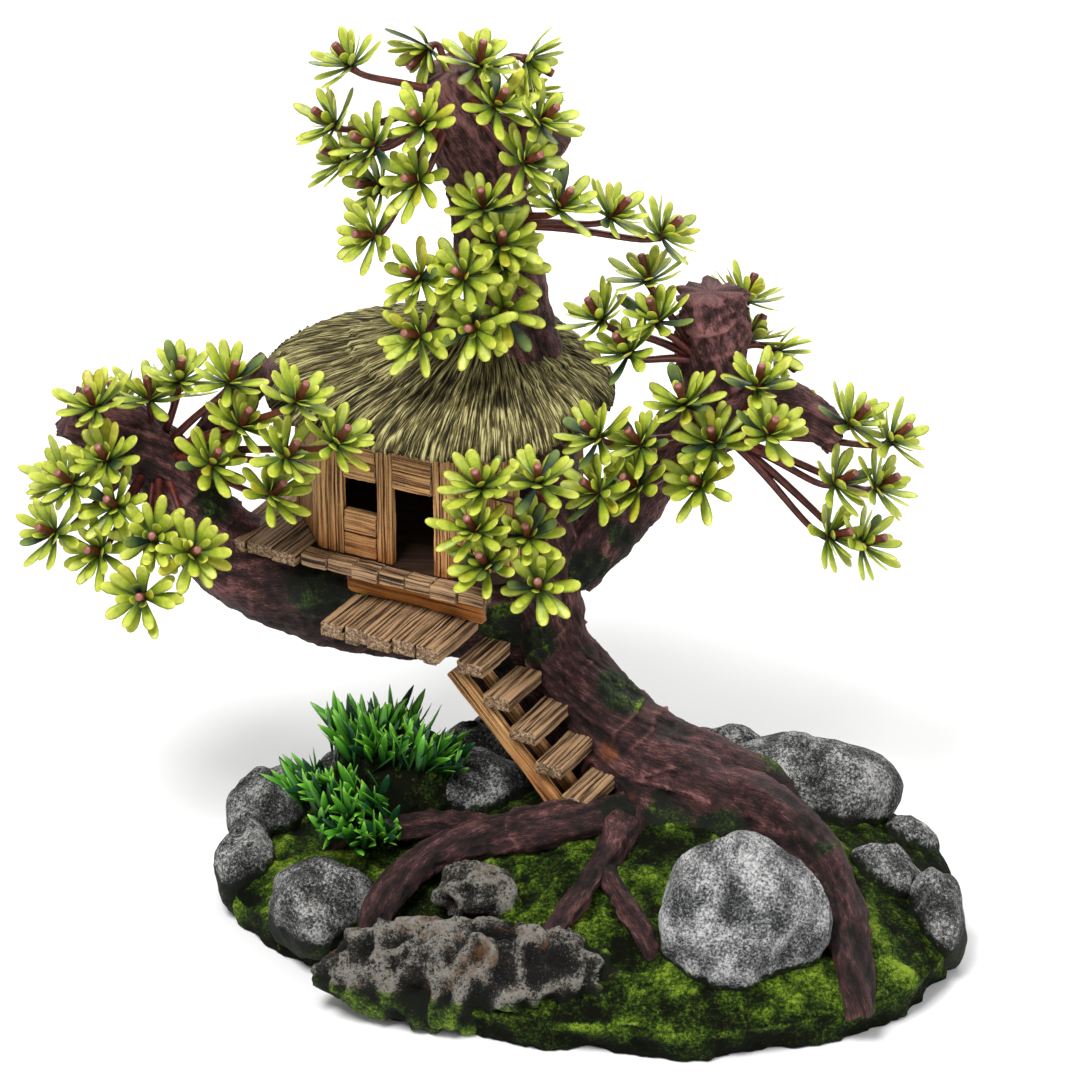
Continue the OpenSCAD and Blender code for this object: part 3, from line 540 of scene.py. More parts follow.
ROOT_LEFT_FRONT = [[10, 4, 30, 6], [-10, -4, 32, 5.5], [-25, -5, 30, 5], [-37, -9, 28, 4.5],
                   [-46, -15, 25, 4.5], [-53, -23, 20, 4], [-57, -29, 12, 2.5]]
ROOT_LEFT_BACK = [[-12, -2, 29, 3.5], [-24, 0, 29, 3.5], [-42, 4, 28, 3.5], [-62, 8, 23, 3.5],
                  [-68, 9, 17, 2]]
ROOT_FORK_LEFT = [[10, 7, 27, 6], [8, -3, 30, 5], [5, -13, 30.5, 3.8], [-1, -27, 28, 3],
                  [-7, -36, 24, 2.6], [-13, -42, 19, 2.2], [-16, -46, 12, 1.2]]
ROOT_FORK_RIGHT = [[4, -12, 29, 2.6], [3, -18, 29.5, 3], [9, -31, 26, 2.6], [14, -41, 21, 2.2],
                   [16, -45, 14, 1.2]]
FLANK = [[-30, 44, 66, 9], [-19, 39, 57, 8.5], [-10, 35, 48, 9], [-1, 31, 39, 10],
         [8, 27, 28, 11]]


def stair_back():
    """The thin web of bark under the stair: an oval 12 mm wide and 2 mm thick, carried down
    the slope of the stringers, just below them and towards the trunk."""
    half_width, half_thickness, toward_trunk, below = 6.0, 1.0, 3.0, 2.4
    t = np.linspace(0.07, 1, 60)[:, None, None]
    w = np.linspace(0, 2 * np.pi, 64, endpoint=False)[None, :, None]
    stair_top, down = np.array([-33.0, 23.7, 64.7]), np.array([38.5, -20.0, -45.5])
    across = np.array([0.47, 0.88, 0.0])
    up = np.cross(down, across) / np.linalg.norm(down)
    middle = stair_top + t * down + toward_trunk * across - below * up
    out = np.cos(w) * across + np.sin(w) * up
    base = middle + half_width * np.cos(w) * across + half_thickness * np.sin(w) * up
    rough = layers(base, 4, 3, 61)
    fibre = np.concatenate(np.broadcast_arrays(12 * np.cos(w), 12 * np.sin(w), 12 * t), -1)
    return skin(base + 0.4 * rough[..., None] * out, crest=0.2 + 0.6 * rough,
                moss=moss_at(base, [[-22, 30, 56, 5]]), fibre=fibre * MM,
                rust=moss_at(base, [[-2, 9, 26, 11], [-8, 12, 34, 6]]))


# %% Trunk, limbs and roots
def bark_piece(name, nodes, *skins):
    """A piece in bark, which stands for these nodes."""
    piece(name, skins, bark_finish, "painted_bark", *nodes)


TRUNK_MOSS = [[9, 24, 57, 8], [-13, 30, 67, 6], [34, -3, 29, 8], [20, 0, 29, 9], [5, 0, 31, 8],
              [46, 8, 30, 9], [44, 28, 31, 12], [-6, 44, 88, 7]]
TRUNK_FOLDS = [(33, 2, 0.9), (39, 1.5, 1.0), (67, 3, 0.9), (84, 2, 0.7), (104, 5, 0.9),
               (128, 3, 0.6), (188, 3, 0.5)]
TRUNK_CREASES = [([14, 10, 40], [21, 9, 42], 1.5), ([21, 9, 42], [31, 5, 40], 1.6),
                 ([12, 9, 39], [20, 7.5, 37], 1.3), ([20, 7.5, 37], [31, 3, 36], 1.5),
                 ([-11, 24, 58], [-4, 23, 60], 0.8), ([-4, 23, 60], [3, 33, 62.5], 1.0)]
trunk = limb(TRUNK, 300, 180, 1, moss=TRUNK_MOSS, folds=TRUNK_FOLDS, creases=TRUNK_CREASES,
             rust=[[5, 14, 44, 3.5], [9, 6, 33, 3.5]], flutes=2.2,
             cut=[(-34, 66, 213), (-0.469, 0, 0.883)])
flank = limb(FLANK, 70, 56, 13, moss=[[-24, 33, 62, 5]], rust=[[6, 14, 26, 7]])
bark_piece("trunk", ["trunk_lower", "trunk_upper"], trunk, flank, stair_back())
bark_piece("limb_left", ["limb_left"],
           limb(LIMB_LEFT, 200, 112, 2, blunt=9, gnarl=2.2, folds=[(96, 3, 0.6), (112, 2, 0.6)],
                moss=[[-70, 40, 78, 9], [-97, 50, 98, 7], [-60, 38, 72, 8], [-40, 34, 72, 8],
                      [-22, 34, 70, 7]]))
bark_piece("limb_left_branch", ["limb_left_branch"], limb(LIMB_LEFT_BRANCH, 50, 44, 3, blunt=3))
bark_piece("limb_right", ["limb_right"],
           limb(LIMB_RIGHT, 140, 84, 4, lobe=0.08, blunt=5, gnarl=1.8,
                moss=[[0, 39, 84, 8], [8, 44, 92, 6]]))
bark_piece("limb_right_stub", ["limb_right_stub"],
           limb(LIMB_RIGHT_STUB, 76, 84, 6, steps=3, lobe=0.1, blunt=20, gnarl=3.6,
                folds=[(12, 2, 0.8), (22, 2, 0.9), (30, 1.5, 0.8)]))
bark_piece("trunk_stub", ["trunk_stub_right"],
           limb(TRUNK_STUB, 36, 48, 7, lobe=0.08, side=(1, 0, 0), blunt=4))
LEVEL = {"lobe": 0.08, "side": (0, 0, 1)}
bark_piece("roots", ["root_right", "root_left_front", "root_left_back", "root_fork"],
           limb(ROOT_RIGHT, 120, 60, 8, **LEVEL, blunt=4, folds=[(56, 1, 1.0), (74, 1, 0.5)],
                moss=[[44, 5, 34, 5], [60, -14, 30, 4]]),
           limb(ROOT_LEFT_FRONT, 110, 52, 9, **LEVEL, folds=[(30, 1, 0.5)],
                moss=[[8, 0, 33, 7]]),
           limb(ROOT_LEFT_BACK, 50, 34, 10, **LEVEL, folds=[(s, 0, 0.3) for s in (12, 16, 20, 24)]),
           limb(ROOT_FORK_LEFT, 80, 38, 11, **LEVEL),
           limb(ROOT_FORK_RIGHT, 54, 32, 12, **LEVEL))

# %% [markdown]
# ## The ground
# The base is a fine disc of rings, lifted into a low hill and roughened into moss. A flat disc
# with a bump map would show a straight edge, so the moss is real relief.

# %% Ground
BASE_Y, BASE_RX, BASE_RY, RIM_H, GROUND_RISE = 4.0, 97.0, 67.0, 9.0, 21.0
SQUARENESS = 2.3


def swell(a, middle, width):
    """A smooth bump of height 1 round one direction, in degrees."""
    return np.exp(-((((a - middle) % 360 + 540) % 360 - 180) / width) ** 2)


def base_radius(a):
    """The outline of the base: a squared oval, drawn in at the front left."""
    r = np.radians(a)
    share = (1 - 0.28 * swell(a, 217, 28) + 0.04 * swell(a, 313, 22) - 0.05 * swell(a, 264, 20)
             - 0.03 * swell(a, 10, 14) + 0.012 * np.sin(9 * r))
    oval = ((np.abs(np.cos(r)) / BASE_RX) ** SQUARENESS
            + (np.abs(np.sin(r)) / BASE_RY) ** SQUARENESS)
    return share / oval ** (1 / SQUARENESS)


def ground_height(x, y):
    """The ground: the rim, plus a rise that falls as the square of the way out, higher at the
    right."""
    a = np.degrees(np.arctan2(y - BASE_Y, x))
    s = (np.hypot(x, y - BASE_Y) / base_radius(a)) ** 2
    return RIM_H + GROUND_RISE * np.maximum(0, 1 - s) * (1 + 0.25 * x / BASE_RX)


def moss_relief(points, seed=0):
    """Moss in three sizes: cushions, clumps and tufts."""
    return (1.3 * layers(points, 10, 2, seed) + 1.0 * layers(points, 3.6, 2, seed + 3)
            + 0.45 * noise(points, 1.2, seed + 6))


a = np.linspace(0, 360, 480, endpoint=False)[None]
share = np.linspace(0.02, 1, 76)[:, None]
r = base_radius(a) * share
x, y = r * np.cos(np.radians(a)), BASE_Y + r * np.sin(np.radians(a))
top = np.stack([x, y, ground_height(x, y)], -1)
tall = moss_relief(top)
top[..., 2] += tall * np.clip((1 - share) * 12 + 0.5, 0, 1)
drop = np.linspace(0, 1, 14)[1:, None]
side_r = base_radius(a) * (1 - 0.015 * drop)
side = np.stack([side_r * np.cos(np.radians(a)), BASE_Y + side_r * np.sin(np.radians(a)),
                 top[-1:, :, 2] * (1 - drop)], -1)
out = np.stack([np.cos(np.radians(a)), np.sin(np.radians(a)), 0 * a], -1)
knob = 2.6 * layers(side, 12, 2, 31) + 1.5 * layers(side, 3.6, 3, 32)
side = side + (knob * np.minimum(1, 4 * drop))[..., None] * out
ground = np.concatenate([top, side])
crest = np.concatenate([0.5 + 0.55 * tall, 0.5 - 0.5 * drop + 0.3 * knob])
bare = np.concatenate([0 * tall - 0.1, np.broadcast_to(0.35 * drop - 0.05, knob.shape)])
piece("mossy_ground", [skin(ground, crest=crest, bare=bare)], moss_finish, "mossy_ground",
      "ground_base")


# %% [markdown]
# ## Stones
# Each stone is a sphere of directions pushed out by the same broad dents as the CAD's, then
# pitted and chipped by noise. The rough rock at the front left has crags instead of pits.

# %% Stones and the mossy mound
def stone_skin(at, size, yaw, seed, rings, columns, craggy=0.0, relief=None):
    """An ellipsoid with dents: 1 + 0.07 sin(2a + 60n) cos e + 0.06 sin(3a + 2e + 100n)
    + 0.04 cos(5a - 3e + 40n) cos e, where a and e are its angles in degrees and n its seed. It
    ends flat on the table."""
    a = np.radians(np.linspace(0, 360, columns, endpoint=False))[None]
    e = np.radians(np.linspace(-88, 88, rings))[:, None]
    n = np.radians(seed)
    dent = (1 + 0.07 * np.sin(2 * a + 60 * n) * np.cos(e) + 0.06 * np.sin(3 * a + 2 * e + 100 * n)
            + 0.04 * np.cos(5 * a - 3 * e + 40 * n) * np.cos(e))
    way = np.stack([np.cos(e) * np.cos(a), np.cos(e) * np.sin(a), np.sin(e) + 0 * a], -1)
    local = way * dent[..., None] * np.asarray(size, float)
    c, s = np.cos(np.radians(yaw)), np.sin(np.radians(yaw))
    turn = np.array([[c, -s, 0], [s, c, 0], [0, 0, 1]])
    base = local @ turn.T + np.asarray(at, float)
    way = way @ turn.T
    if relief is not None:
        high = relief(base)
    else:
        pits = np.maximum(noise(base, 2.0, seed + 4) - 0.5, 0)
        ridge = 1 - np.abs(2 * layers(base * [1, 1, 0.6], 7, 3, seed + 5))
        high = 0.8 * layers(base, 8, 3, seed) - 1.2 * pits + craggy * (ridge - 0.6)
    grid = base + high[..., None] * way
    grid[..., 2] = np.maximum(grid[..., 2], 0)
    low = np.clip((ground_height(grid[..., 0], grid[..., 1]) + 5 - grid[..., 2]) / 8, -1, 0.6)
    return skin(grid, crest=0.5 + 0.5 * high, moss=low, bare=0 * low - 0.05)


STONES = {
    "rock_front_large": [([37, -37, 24], [20, 17.5, 23.5], 0, 1)],
    "rock_front_rough": [([-28, -41, 10.5], [37, 14, 14.5], -6, 2),
                         ([-28, -22, 23], [10, 8, 7], 0, 3)],
    "rocks_left": [([-68, -13, 12.5], [15, 12, 13.5], 10, 4), ([-89, 15, 8.5], [9, 13, 12], 0, 5),
                   ([-84, 36, 13], [11, 13, 12], 0, 6)],
    "rocks_right": [([57, 32, 21.5], [23.5, 18, 14.5], -14, 7), ([84, 22, 11], [7.5, 7, 8], 0, 8),
                    ([76, -3, 15], [10, 10, 10], 0, 9), ([89, -14, 10], [8, 13, 13], 0, 10)],
    "rocks_back": [([-28, 24, 27], [15, 11, 9], 0, 11), ([-29, 54, 17], [13, 11, 13], 0, 12),
                   ([34, 45, 20], [17, 12, 12.5], 0, 13), ([4, 60, 11], [17, 10, 12], 0, 15),
                   ([-60, 52, 11], [14, 10, 12], 20, 14)]}
FINE_GRID, COARSE_GRID = (92, 136), (44, 66)
for node, stones in STONES.items():
    rough = node == "rock_front_rough"
    finish = {"rock_front_rough": dark_stone, "rock_front_large": pale_stone}.get(node, grey_stone)
    skins = []
    for at, size, yaw, seed in stones:
        close = finish is not grey_stone and max(size) > 19
        skins.append(stone_skin(at, size, yaw, seed, *(FINE_GRID if close else COARSE_GRID),
                                craggy=4.0 if rough else 0.8))
    piece("stone_" + node.split("_", 1)[1], skins, finish, "cast_rock", node)
mound = stone_skin([-50, 24, 27], [16, 15, 17], 0, 3, 60, 94, relief=lambda p: moss_relief(p, 50))
piece("mossy_mound", [mound], dark_moss_finish, "mossy_ground", "moss_mound")


# %% [markdown]
# ## Planks, posts and treads
# A board is a rounded rectangle carried along its grain, with noise that is stretched along
# the grain pressing grooves into it. Each one takes its place, turn and size from the CAD
# solid that it stands for.

# %% A board
def board_place(corners):
    """The middle, axes and size of an upright box-like solid: of all turns about the upright
    axis, the one whose rectangle round the corners is smallest."""
    turns = np.radians(np.arange(0, 90, 0.5))
    first = np.stack([np.cos(turns), np.sin(turns)], -1)
    second = np.stack([-np.sin(turns), np.cos(turns)], -1)
    p, q = corners[:, :2] @ first.T, corners[:, :2] @ second.T
    best = (np.ptp(p, axis=0) * np.ptp(q, axis=0)).argmin()
    lows = np.array([p[:, best].min(), q[:, best].min(), corners[:, 2].min()])
    highs = np.array([p[:, best].max(), q[:, best].max(), corners[:, 2].max()])
    axes = np.eye(3)
    axes[0, :2], axes[1, :2] = first[best], second[best]
    return (lows + highs) / 2 @ axes, axes, highs - lows


def sloping_place(corners):
    """The middle, axes and size of a sloping box: its principal directions."""
    middle = corners.mean(axis=0)
    axes = np.linalg.svd(corners - middle, full_matrices=False)[2]
    local = (corners - middle) @ axes.T
    return middle + (local.max(0) + local.min(0)) / 2 @ axes, axes, np.ptp(local, axis=0)


def board(middle, axes, size, grain, seed, columns, rings=22, edge=0.4, groove=0.3, stain=None):
    """A rounded rectangle, wide x thick, carried along the grain axis. Noise whose cells are
    0.6 mm across and twenty times as long moves the skin in and out."""
    order = [grain] + [k for k in np.argsort(-size) if k != grain]
    length, wide, thick = size[order]
    axes = axes[order]
    edge = min(edge, 0.3 * thick)
    corner = np.cumsum([0, wide, thick, wide, thick])
    d = (np.arange(columns) + 0.5) / columns * corner[-1]
    half = np.array([wide, thick]) / 2
    p = np.stack([np.interp(d, corner, half[0] * np.array([-1, 1, 1, -1, -1])),
                  np.interp(d, corner, half[1] * np.array([-1, -1, 1, 1, -1]))], -1)
    core = np.clip(p, edge - half, half - edge)
    rim = np.exp(-((half - np.abs(p)).max(axis=1) / 0.4) ** 2)[None]
    out = (p - core) / np.linalg.norm(p - core, axis=1, keepdims=True)
    p = core + edge * out
    shrink = np.concatenate([[0.3, 0.62, 0.93], np.ones(rings), [0.93, 0.62, 0.3]])
    tip = length / 2
    s = np.concatenate([[-tip] * 3, np.linspace(-tip + 0.25, tip - 0.25, rings), [tip] * 3])
    flat = p[None] * shrink[:, None, None]
    local = np.concatenate([np.broadcast_to(s[:, None, None], flat.shape[:2] + (1,)), flat], -1)
    sides = np.concatenate([np.zeros(3), np.ones(rings), np.zeros(3)])[:, None]
    shift = 40.0 * (seed % 97)
    grain_place = local * [0.05, 1, 1] + shift
    fibre = layers(grain_place, 0.62, 2, seed)
    chip = layers(local + shift, 1.6, 2, seed + 1)
    local[..., 1:] += (sides * (groove * (fibre - 0.35) + 0.12 * chip))[..., None] * out[None]
    local[..., 0] += (1 - sides) * 0.25 * chip
    belly = 1 - np.abs(np.linspace(-1, 1, len(s)))[:, None]
    local[..., 2] += 0.3 * belly * noise(local * 0.1 + seed, 1.0, seed)
    grid = local @ axes + middle
    wash = np.zeros(grid.shape[:2]) if stain is None else stain(grid)
    return skin(grid, crest=0.5 + 0.8 * fibre * sides + 0.8 * rim, stain=wash,
                end=(1 - sides) * (1 - 0.8 * rim), fibre=grain_place * MM)


FADE = 14.0
floor_top = solids("hut_floor")[0][:, 2].max()


def low_wash(grid):
    """An orange wash that fades out over 14 mm above the hut floor."""
    return np.clip(1 - (grid[..., 2] - floor_top) / FADE, 0, 1) * 0.9


def foot_wash(grid):
    """An orange wash that starts 52 mm above the table and is full about 13 mm lower."""
    return np.clip((52 - grid[..., 2]) / FADE, 0, 0.9)


def pieces_of(node, seed, **more):
    """One board for each solid of a node, its grain along the longest side."""
    places = [board_place(corners) for corners in solids(node)]
    return [board(middle, axes, size, int(size.argmax()), seed + k, **more)
            for k, (middle, axes, size) in enumerate(places)]


def split_boards(node, count, across, seed, **more):
    """A wall or panel as count boards side by side: its solid is cut in equal strips. across
    is "up" for boards that lie on each other, or "along" for upright ones."""
    skins = []
    for corners in solids(node):
        middle, axes, size = board_place(corners)
        axis = 2 if across == "up" else int(size[:2].argmax())
        grain = int(size[:2].argmax()) if across == "up" else 2
        shift = (np.arange(count) + 0.5) / count - 0.5
        part = size.copy()
        part[axis] = size[axis] / count - 0.25
        for k in range(count):
            skins.append(board(middle + axes[axis] * shift[k] * size[axis], axes, part, grain,
                               seed + 7 * k, **more))
    return skins


# %% Walls, decks and stair
def hut_boards(name, node, count, across, seed, **more):
    """A part of the hut's wall in separate boards, with the orange wash low down."""
    skins = split_boards(node, count, across, seed, stain=low_wash, **more)
    piece(name, skins, board_finish, "weathered_boards", node)


def deck_boards(name, node, seed, finish=deck_finish, slot="weathered_boards", **more):
    """One board for each plank, bearer or tread that the node holds."""
    piece(name, pieces_of(node, seed, **more), finish, slot, node)


POST, RAIL = {"columns": 40, "rings": 40, "groove": 0.35}, {"columns": 56}
FRONT_WALL = [("left_post", 3, "along", POST), ("sill_boards", 2, "up", RAIL),
              ("window_head", 3, "up", RAIL), ("middle_post", 2, "along", POST),
              ("door_head", 3, "up", RAIL), ("door_post", 2, "along", POST)]
for k, (name, count, across, shape) in enumerate(FRONT_WALL):
    hut_boards(name, "front_wall_" + name, count, across, 101 + 10 * k, **shape)
PANELS = {"wall_front_left": 4, "wall_left": 6, "wall_back_left": 4, "wall_back": 5,
          "wall_back_right": 4, "wall_front_right": 3}
for k, (node, count) in enumerate(PANELS.items()):
    hut_boards(node + "_boards", node, count, "along", 200 + 20 * k, columns=32, rings=20)
deck_boards("porch_planks", "deck_planks_front", 301, columns=60, rings=12)
deck_boards("side_deck_planks", "deck_planks_left", 311, columns=64, rings=24)
deck_boards("fascia_board", "deck_fascia_board", 321, fascia_finish, "orange_board", columns=48,
            rings=36)
deck_boards("landing", "landing_planks", 331, columns=62, rings=26, groove=0.4)
deck_boards("landing_bearers", "landing_beams", 341, columns=32)
deck_boards("treads", "stair_treads", 351, columns=72, rings=26, groove=0.45, edge=0.3)
for k, node in enumerate(("stair_stringer_front", "stair_stringer_back")):
    middle, axes, size = sloping_place(solids(node)[0])
    stringer = board(middle, axes, size, int(size.argmax()), 361 + k, columns=36, rings=44,
                     stain=foot_wash)
    piece(node + "_board", [stringer], board_finish, "weathered_boards", node)

# %% [markdown]
# ## Thatch
# The roof is combed clay: strands that run down from the trunk to the eaves, in three ragged
# layers. Its top is one grid of 56 rings and 920 columns, and noise that is narrow round the
# roof and long down the slope lifts the strands. Separate straws would need far more faces.

# %% Thatch
HUT_AT, HUT_YAW, APEX = np.array([-37.0, 71.0]), np.radians(-28), np.array([12.0, 4.0])
ROOF_R, EAVE_DROP, THATCH_T = 47.0, 3.0, 5.0
OUTER = np.array([[0, 1], [0.3, 0.7], [0.55, 0.43], [0.8, 0.2], [0.95, 0.06], [1, -0.08]])
PLATE_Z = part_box("thatched_roof")[0].z / MM + EAVE_DROP
ROOF_RISE, ROOF_RINGS, ROOF_COLUMNS = 21.0, 56, 920
STRAND_RADIUS, SLOPE_CELLS, COURSES = 34, 7, 3.0


def eave(a):
    """The distance of the eave from the middle of the hut, by direction in degrees."""
    r = np.radians(a)
    bulge = (swell(a, 318, 26) + 0.5 * swell(a, 195, 40) - 1.3 * swell(a, 50, 40)
             - 0.7 * swell(a, 128, 36))
    return ROOF_R * (1 + 0.01 * np.sin(5 * r) + 0.008 * np.sin(11 * r + 0.52) + 0.08 * bulge)


def roof_point(a, share, z):
    """A point of the roof: the way from the apex to the eave, turned into place."""
    r = np.radians(a)
    rim = eave(a)[..., None] * np.stack([np.cos(r), np.sin(r)], -1)
    flat = APEX * (1 - share[..., None]) + rim * share[..., None]
    c, s = np.cos(HUT_YAW), np.sin(HUT_YAW)
    flat = flat @ np.array([[c, s], [-s, c]]) + HUT_AT
    return np.concatenate([flat, z[..., None]], -1)


a, share = np.meshgrid(np.linspace(0, 360, ROOF_COLUMNS, endpoint=False),
                       np.linspace(0.03, 1, ROOF_RINGS))
smooth = np.poly1d(np.polyfit(OUTER[:, 0], OUTER[:, 1], 4))
r = np.radians(a)
strand_place = np.stack([STRAND_RADIUS * np.cos(r), STRAND_RADIUS * np.sin(r),
                         share * SLOPE_CELLS + 0.35 * np.sin(7 * r)], -1)
strands = layers(strand_place, 0.72, 2, 71)
tufts = layers(strand_place * [0.3, 0.3, 1.0], 1.2, 2, 73)
ragged = 0.05 * noise(strand_place * [0.5, 0.5, 0], 1.0, 74)
course = np.mod((share + ragged) * COURSES + 0.15, 1.0)
lift = 0.7 * course * np.clip(share * 3, 0, 1)
z = PLATE_Z + ROOF_RISE * smooth(share)
roof = roof_point(a, share, z)
outward = np.stack([0.45 * np.cos(r + HUT_YAW), 0.45 * np.sin(r + HUT_YAW), 0 * r + 0.9], -1)
high = 0.85 * strands + 0.2 * tufts + lift - 0.6
roof = roof + high[..., None] * outward
under = np.array([[1.005, -1.6], [1.0, -2.6], [0.985, -3.0], [0.96, -3.0], [0.94, 0.0], [0.7, 0.0],
                  [0.55, ROOF_RISE * 0.43 - THATCH_T], [0.3, ROOF_RISE * 0.7 - THATCH_T],
                  [0.05, ROOF_RISE * 0.95 - THATCH_T]])
b = a[:len(under)]
inner = roof_point(b, under[:, :1] + 0 * b, PLATE_Z + under[:, 1:] + 0 * b)
inner[..., 2] -= np.array([1.2, 1.5, 1.0, 0.3, 0, 0, 0, 0, 0])[:, None] * strands[-1:]
grid = np.concatenate([roof, inner])
crest = np.concatenate([0.5 + 0.9 * strands + 0.2 * (course - 0.5),
                        0.35 + 0.8 * strands[-1:] + 0 * b])
onward = [0, 0, 0.2] * np.arange(len(under))[:, None, None]
lengthways = np.concatenate([strand_place, strand_place[-1:] + onward])
f = Finish("thatch_strands")
fine = f.grain(0.34, 3, 0.7, (1, 1, 3), "fibre")
value = f.total((f.mark("crest"), 0.24), (fine, 1.25), (f.grain(12, 4), 0.15))
straw = f.ramp(value, (0.67, tint(20, 16, 5)), (0.77, tint(60, 52, 26)), (0.88, tint(116, 106, 64)),
               (1.0, tint(188, 180, 126)))
thatch_finish = f.finish(straw, 0.75, fine, 0.5, 1.0, 0.2)
piece("thatch", [skin(grid, crest=crest, fibre=lengthways * MM)], thatch_finish, "thatch",
      "thatched_roof")

# %% [markdown]
# ## Plastic leaves
# Each clipped-on rosette has a red-brown peg, an outer whorl of paddle-shaped leaves and
# two inner whorls of shorter ones. One leaf is a flattened tube along a curved line. All the
# leaves of one whorl in a spray are worked out as one array, and each has a few dozen faces.

# %% Leaf and twig finishes
f = Finish("leaf_plastic")
reach, shade = f.mark("reach"), f.mark("shade")
green = f.ramp(reach, (0.0, tint(28, 46, 24)), (0.28, tint(94, 118, 36)),
               (0.58, tint(162, 180, 46)), (0.95, tint(206, 212, 84)))
# Painted shade: a few leaves picked at random take this darker, bluish copy of the green, the
# colour of leaves lying in shadow. A few others take a warm yellow tone.
shaded_green = f.ramp(reach, (0.0, tint(14, 26, 22)), (0.5, tint(38, 60, 46)), (1.0, tint(120, 142, 62)))
warm = f.ramp(reach, (0.0, tint(52, 60, 16)), (0.5, tint(166, 160, 30)), (1.0, tint(208, 194, 60)))
green = f.mix(f.ramp(shade, (0.16, 1.0), (0.24, 0.0)), green, shaded_green)
green = f.mix(f.ramp(shade, (0.84, 0.0), (0.9, 0.7)), green, warm)
mottle = f.ramp(f.grain(2.2, 3), (0.3, tint(205, 205, 190)), (0.65, tint(255, 255, 255)))
green = f.mix(1.0, green, mottle, "MULTIPLY")
leaf_finish = f.finish(green, 0.42, f.grain(1.2, 3), 0.12, 0.5, 0.45)
f = Finish("twig_plastic")
brown = f.ramp(f.grain(2.0, 4), (0.35, tint(60, 22, 16)), (0.65, tint(108, 44, 34)))
brown = f.mix(f.ramp(f.mark("reach"), (0.95, 0.0), (1.0, 0.7)), brown, tint(164, 104, 92))
twig_finish = f.finish(brown, 0.4, f.grain(0.8, 3), 0.1, 0.4, 0.5)
print("finishes:", leaf_finish.name, twig_finish.name)


# %% Rosettes and twigs
def unit(v):
    return v / np.linalg.norm(v, axis=-1, keepdims=True)


def rosette_places(node, hub):
    """Where each rosette of a spray stands: the foot of its peg and its axis. Every rosette is
    a solid of revolution, so its axis is the principal direction whose spread is unlike the
    other two, and it points away from the hub and upwards."""
    feet, ways = [], []
    for corners in solids(node):
        middle = corners.mean(axis=0)
        guess = unit(unit(middle - hub) + np.array([0, -0.35, 0.75]))
        spread, principal = np.linalg.eigh(np.cov((corners - middle).T))
        odd = 0 if spread[1] - spread[0] > spread[2] - spread[1] else 2
        way = principal[:, odd] * np.sign(principal[:, odd] @ guess)
        along = (corners - middle) @ way
        feet.append(middle + way * along.min())
        ways.append(way)
    return np.array(feet), np.array(ways)


def leaf_skins(foot, way, turn, rise, length, width, shade, cup):
    """Leaves as flattened tubes, all at once: along its middle line a leaf goes out by
    length x t x cos(rise) and up by length x (sin(rise) t + cup t^2). Its half width grows
    to width at four fifths of the way out, and it is about 0.6 mm thick. The arrays are
    (leaf, ring, column)."""
    t = np.array([0.0, 0.14, 0.36, 0.58, 0.8, 0.94, 1.0])[None, :, None]
    w = np.linspace(0, 2 * np.pi, 6, endpoint=False)[None, None]
    side = unit(np.cross(way, np.array([0.31, 0.95, 0.07])))
    other = np.cross(way, side)
    out = np.cos(turn)[:, None] * side + np.sin(turn)[:, None] * other
    flat = np.cross(way, out)
    length, width, rise, cup, shade = (v[:, None, None] for v in (length, width, rise, cup, shade))
    far = length * t * np.cos(rise)
    high = length * (t * np.sin(rise) + cup * t**2)
    half = width * np.array([0.4, 0.48, 0.7, 0.95, 1.0, 0.7, 0.28])[None, :, None]
    x = half * np.cos(w)
    lift = 0.28 * np.sin(w) * np.where(t < 0.9, 1, 0.5) + 0.10 * x**2 / np.maximum(half, 0.2)
    centre = foot + 1.1 * way
    p = (centre[:, None, None] + (far + 0.6)[..., None] * out[:, None, None]
         + x[..., None] * flat[:, None, None] + (high + lift)[..., None] * way[:, None, None])
    reach = np.broadcast_to(t, p.shape[:3])
    return many(p, reach=reach, shade=np.broadcast_to(shade, p.shape[:3]))


def many(p, **marks):
    """One skin from an array of tubes (tube, ring, column, 3), each closed at both ends."""
    tubes = len(p)
    one = skin(p[0], **{k: v[0] for k, v in marks.items()})
    ends = np.stack([p[:, 0].mean(axis=1), p[:, -1].mean(axis=1)], 1)
    points = np.concatenate([p.reshape(tubes, -1, 3), ends], 1)
    step = (np.arange(tubes) * points.shape[1])[:, None, None]
    values = {k: np.concatenate([v.reshape(tubes, -1), v[:, 0].mean(1)[:, None],
                                 v[:, -1].mean(1)[:, None]], 1).reshape(-1, 1)
              for k, v in marks.items()}
    return {"points": points.reshape(-1, 3), "quads": (one["quads"][None] + step).reshape(-1, 4),
            "tris": (one["tris"][None] + step).reshape(-1, 3), "marks": values}


def tubes_between(rows, radii, columns):
    """Round tubes along several lines at once: rows is (tube, ring, 3)."""
    along = unit(np.gradient(rows, axis=1))
    across = unit(np.cross(np.array([0.2, 1.0, 0.1]), along))
    up = np.cross(along, across)
    w = np.linspace(0, 2 * np.pi, columns, endpoint=False)
    out = np.cos(w)[:, None] * across[:, :, None] + np.sin(w)[:, None] * up[:, :, None]
    return rows[:, :, None] + radii[None, :, None, None] * out


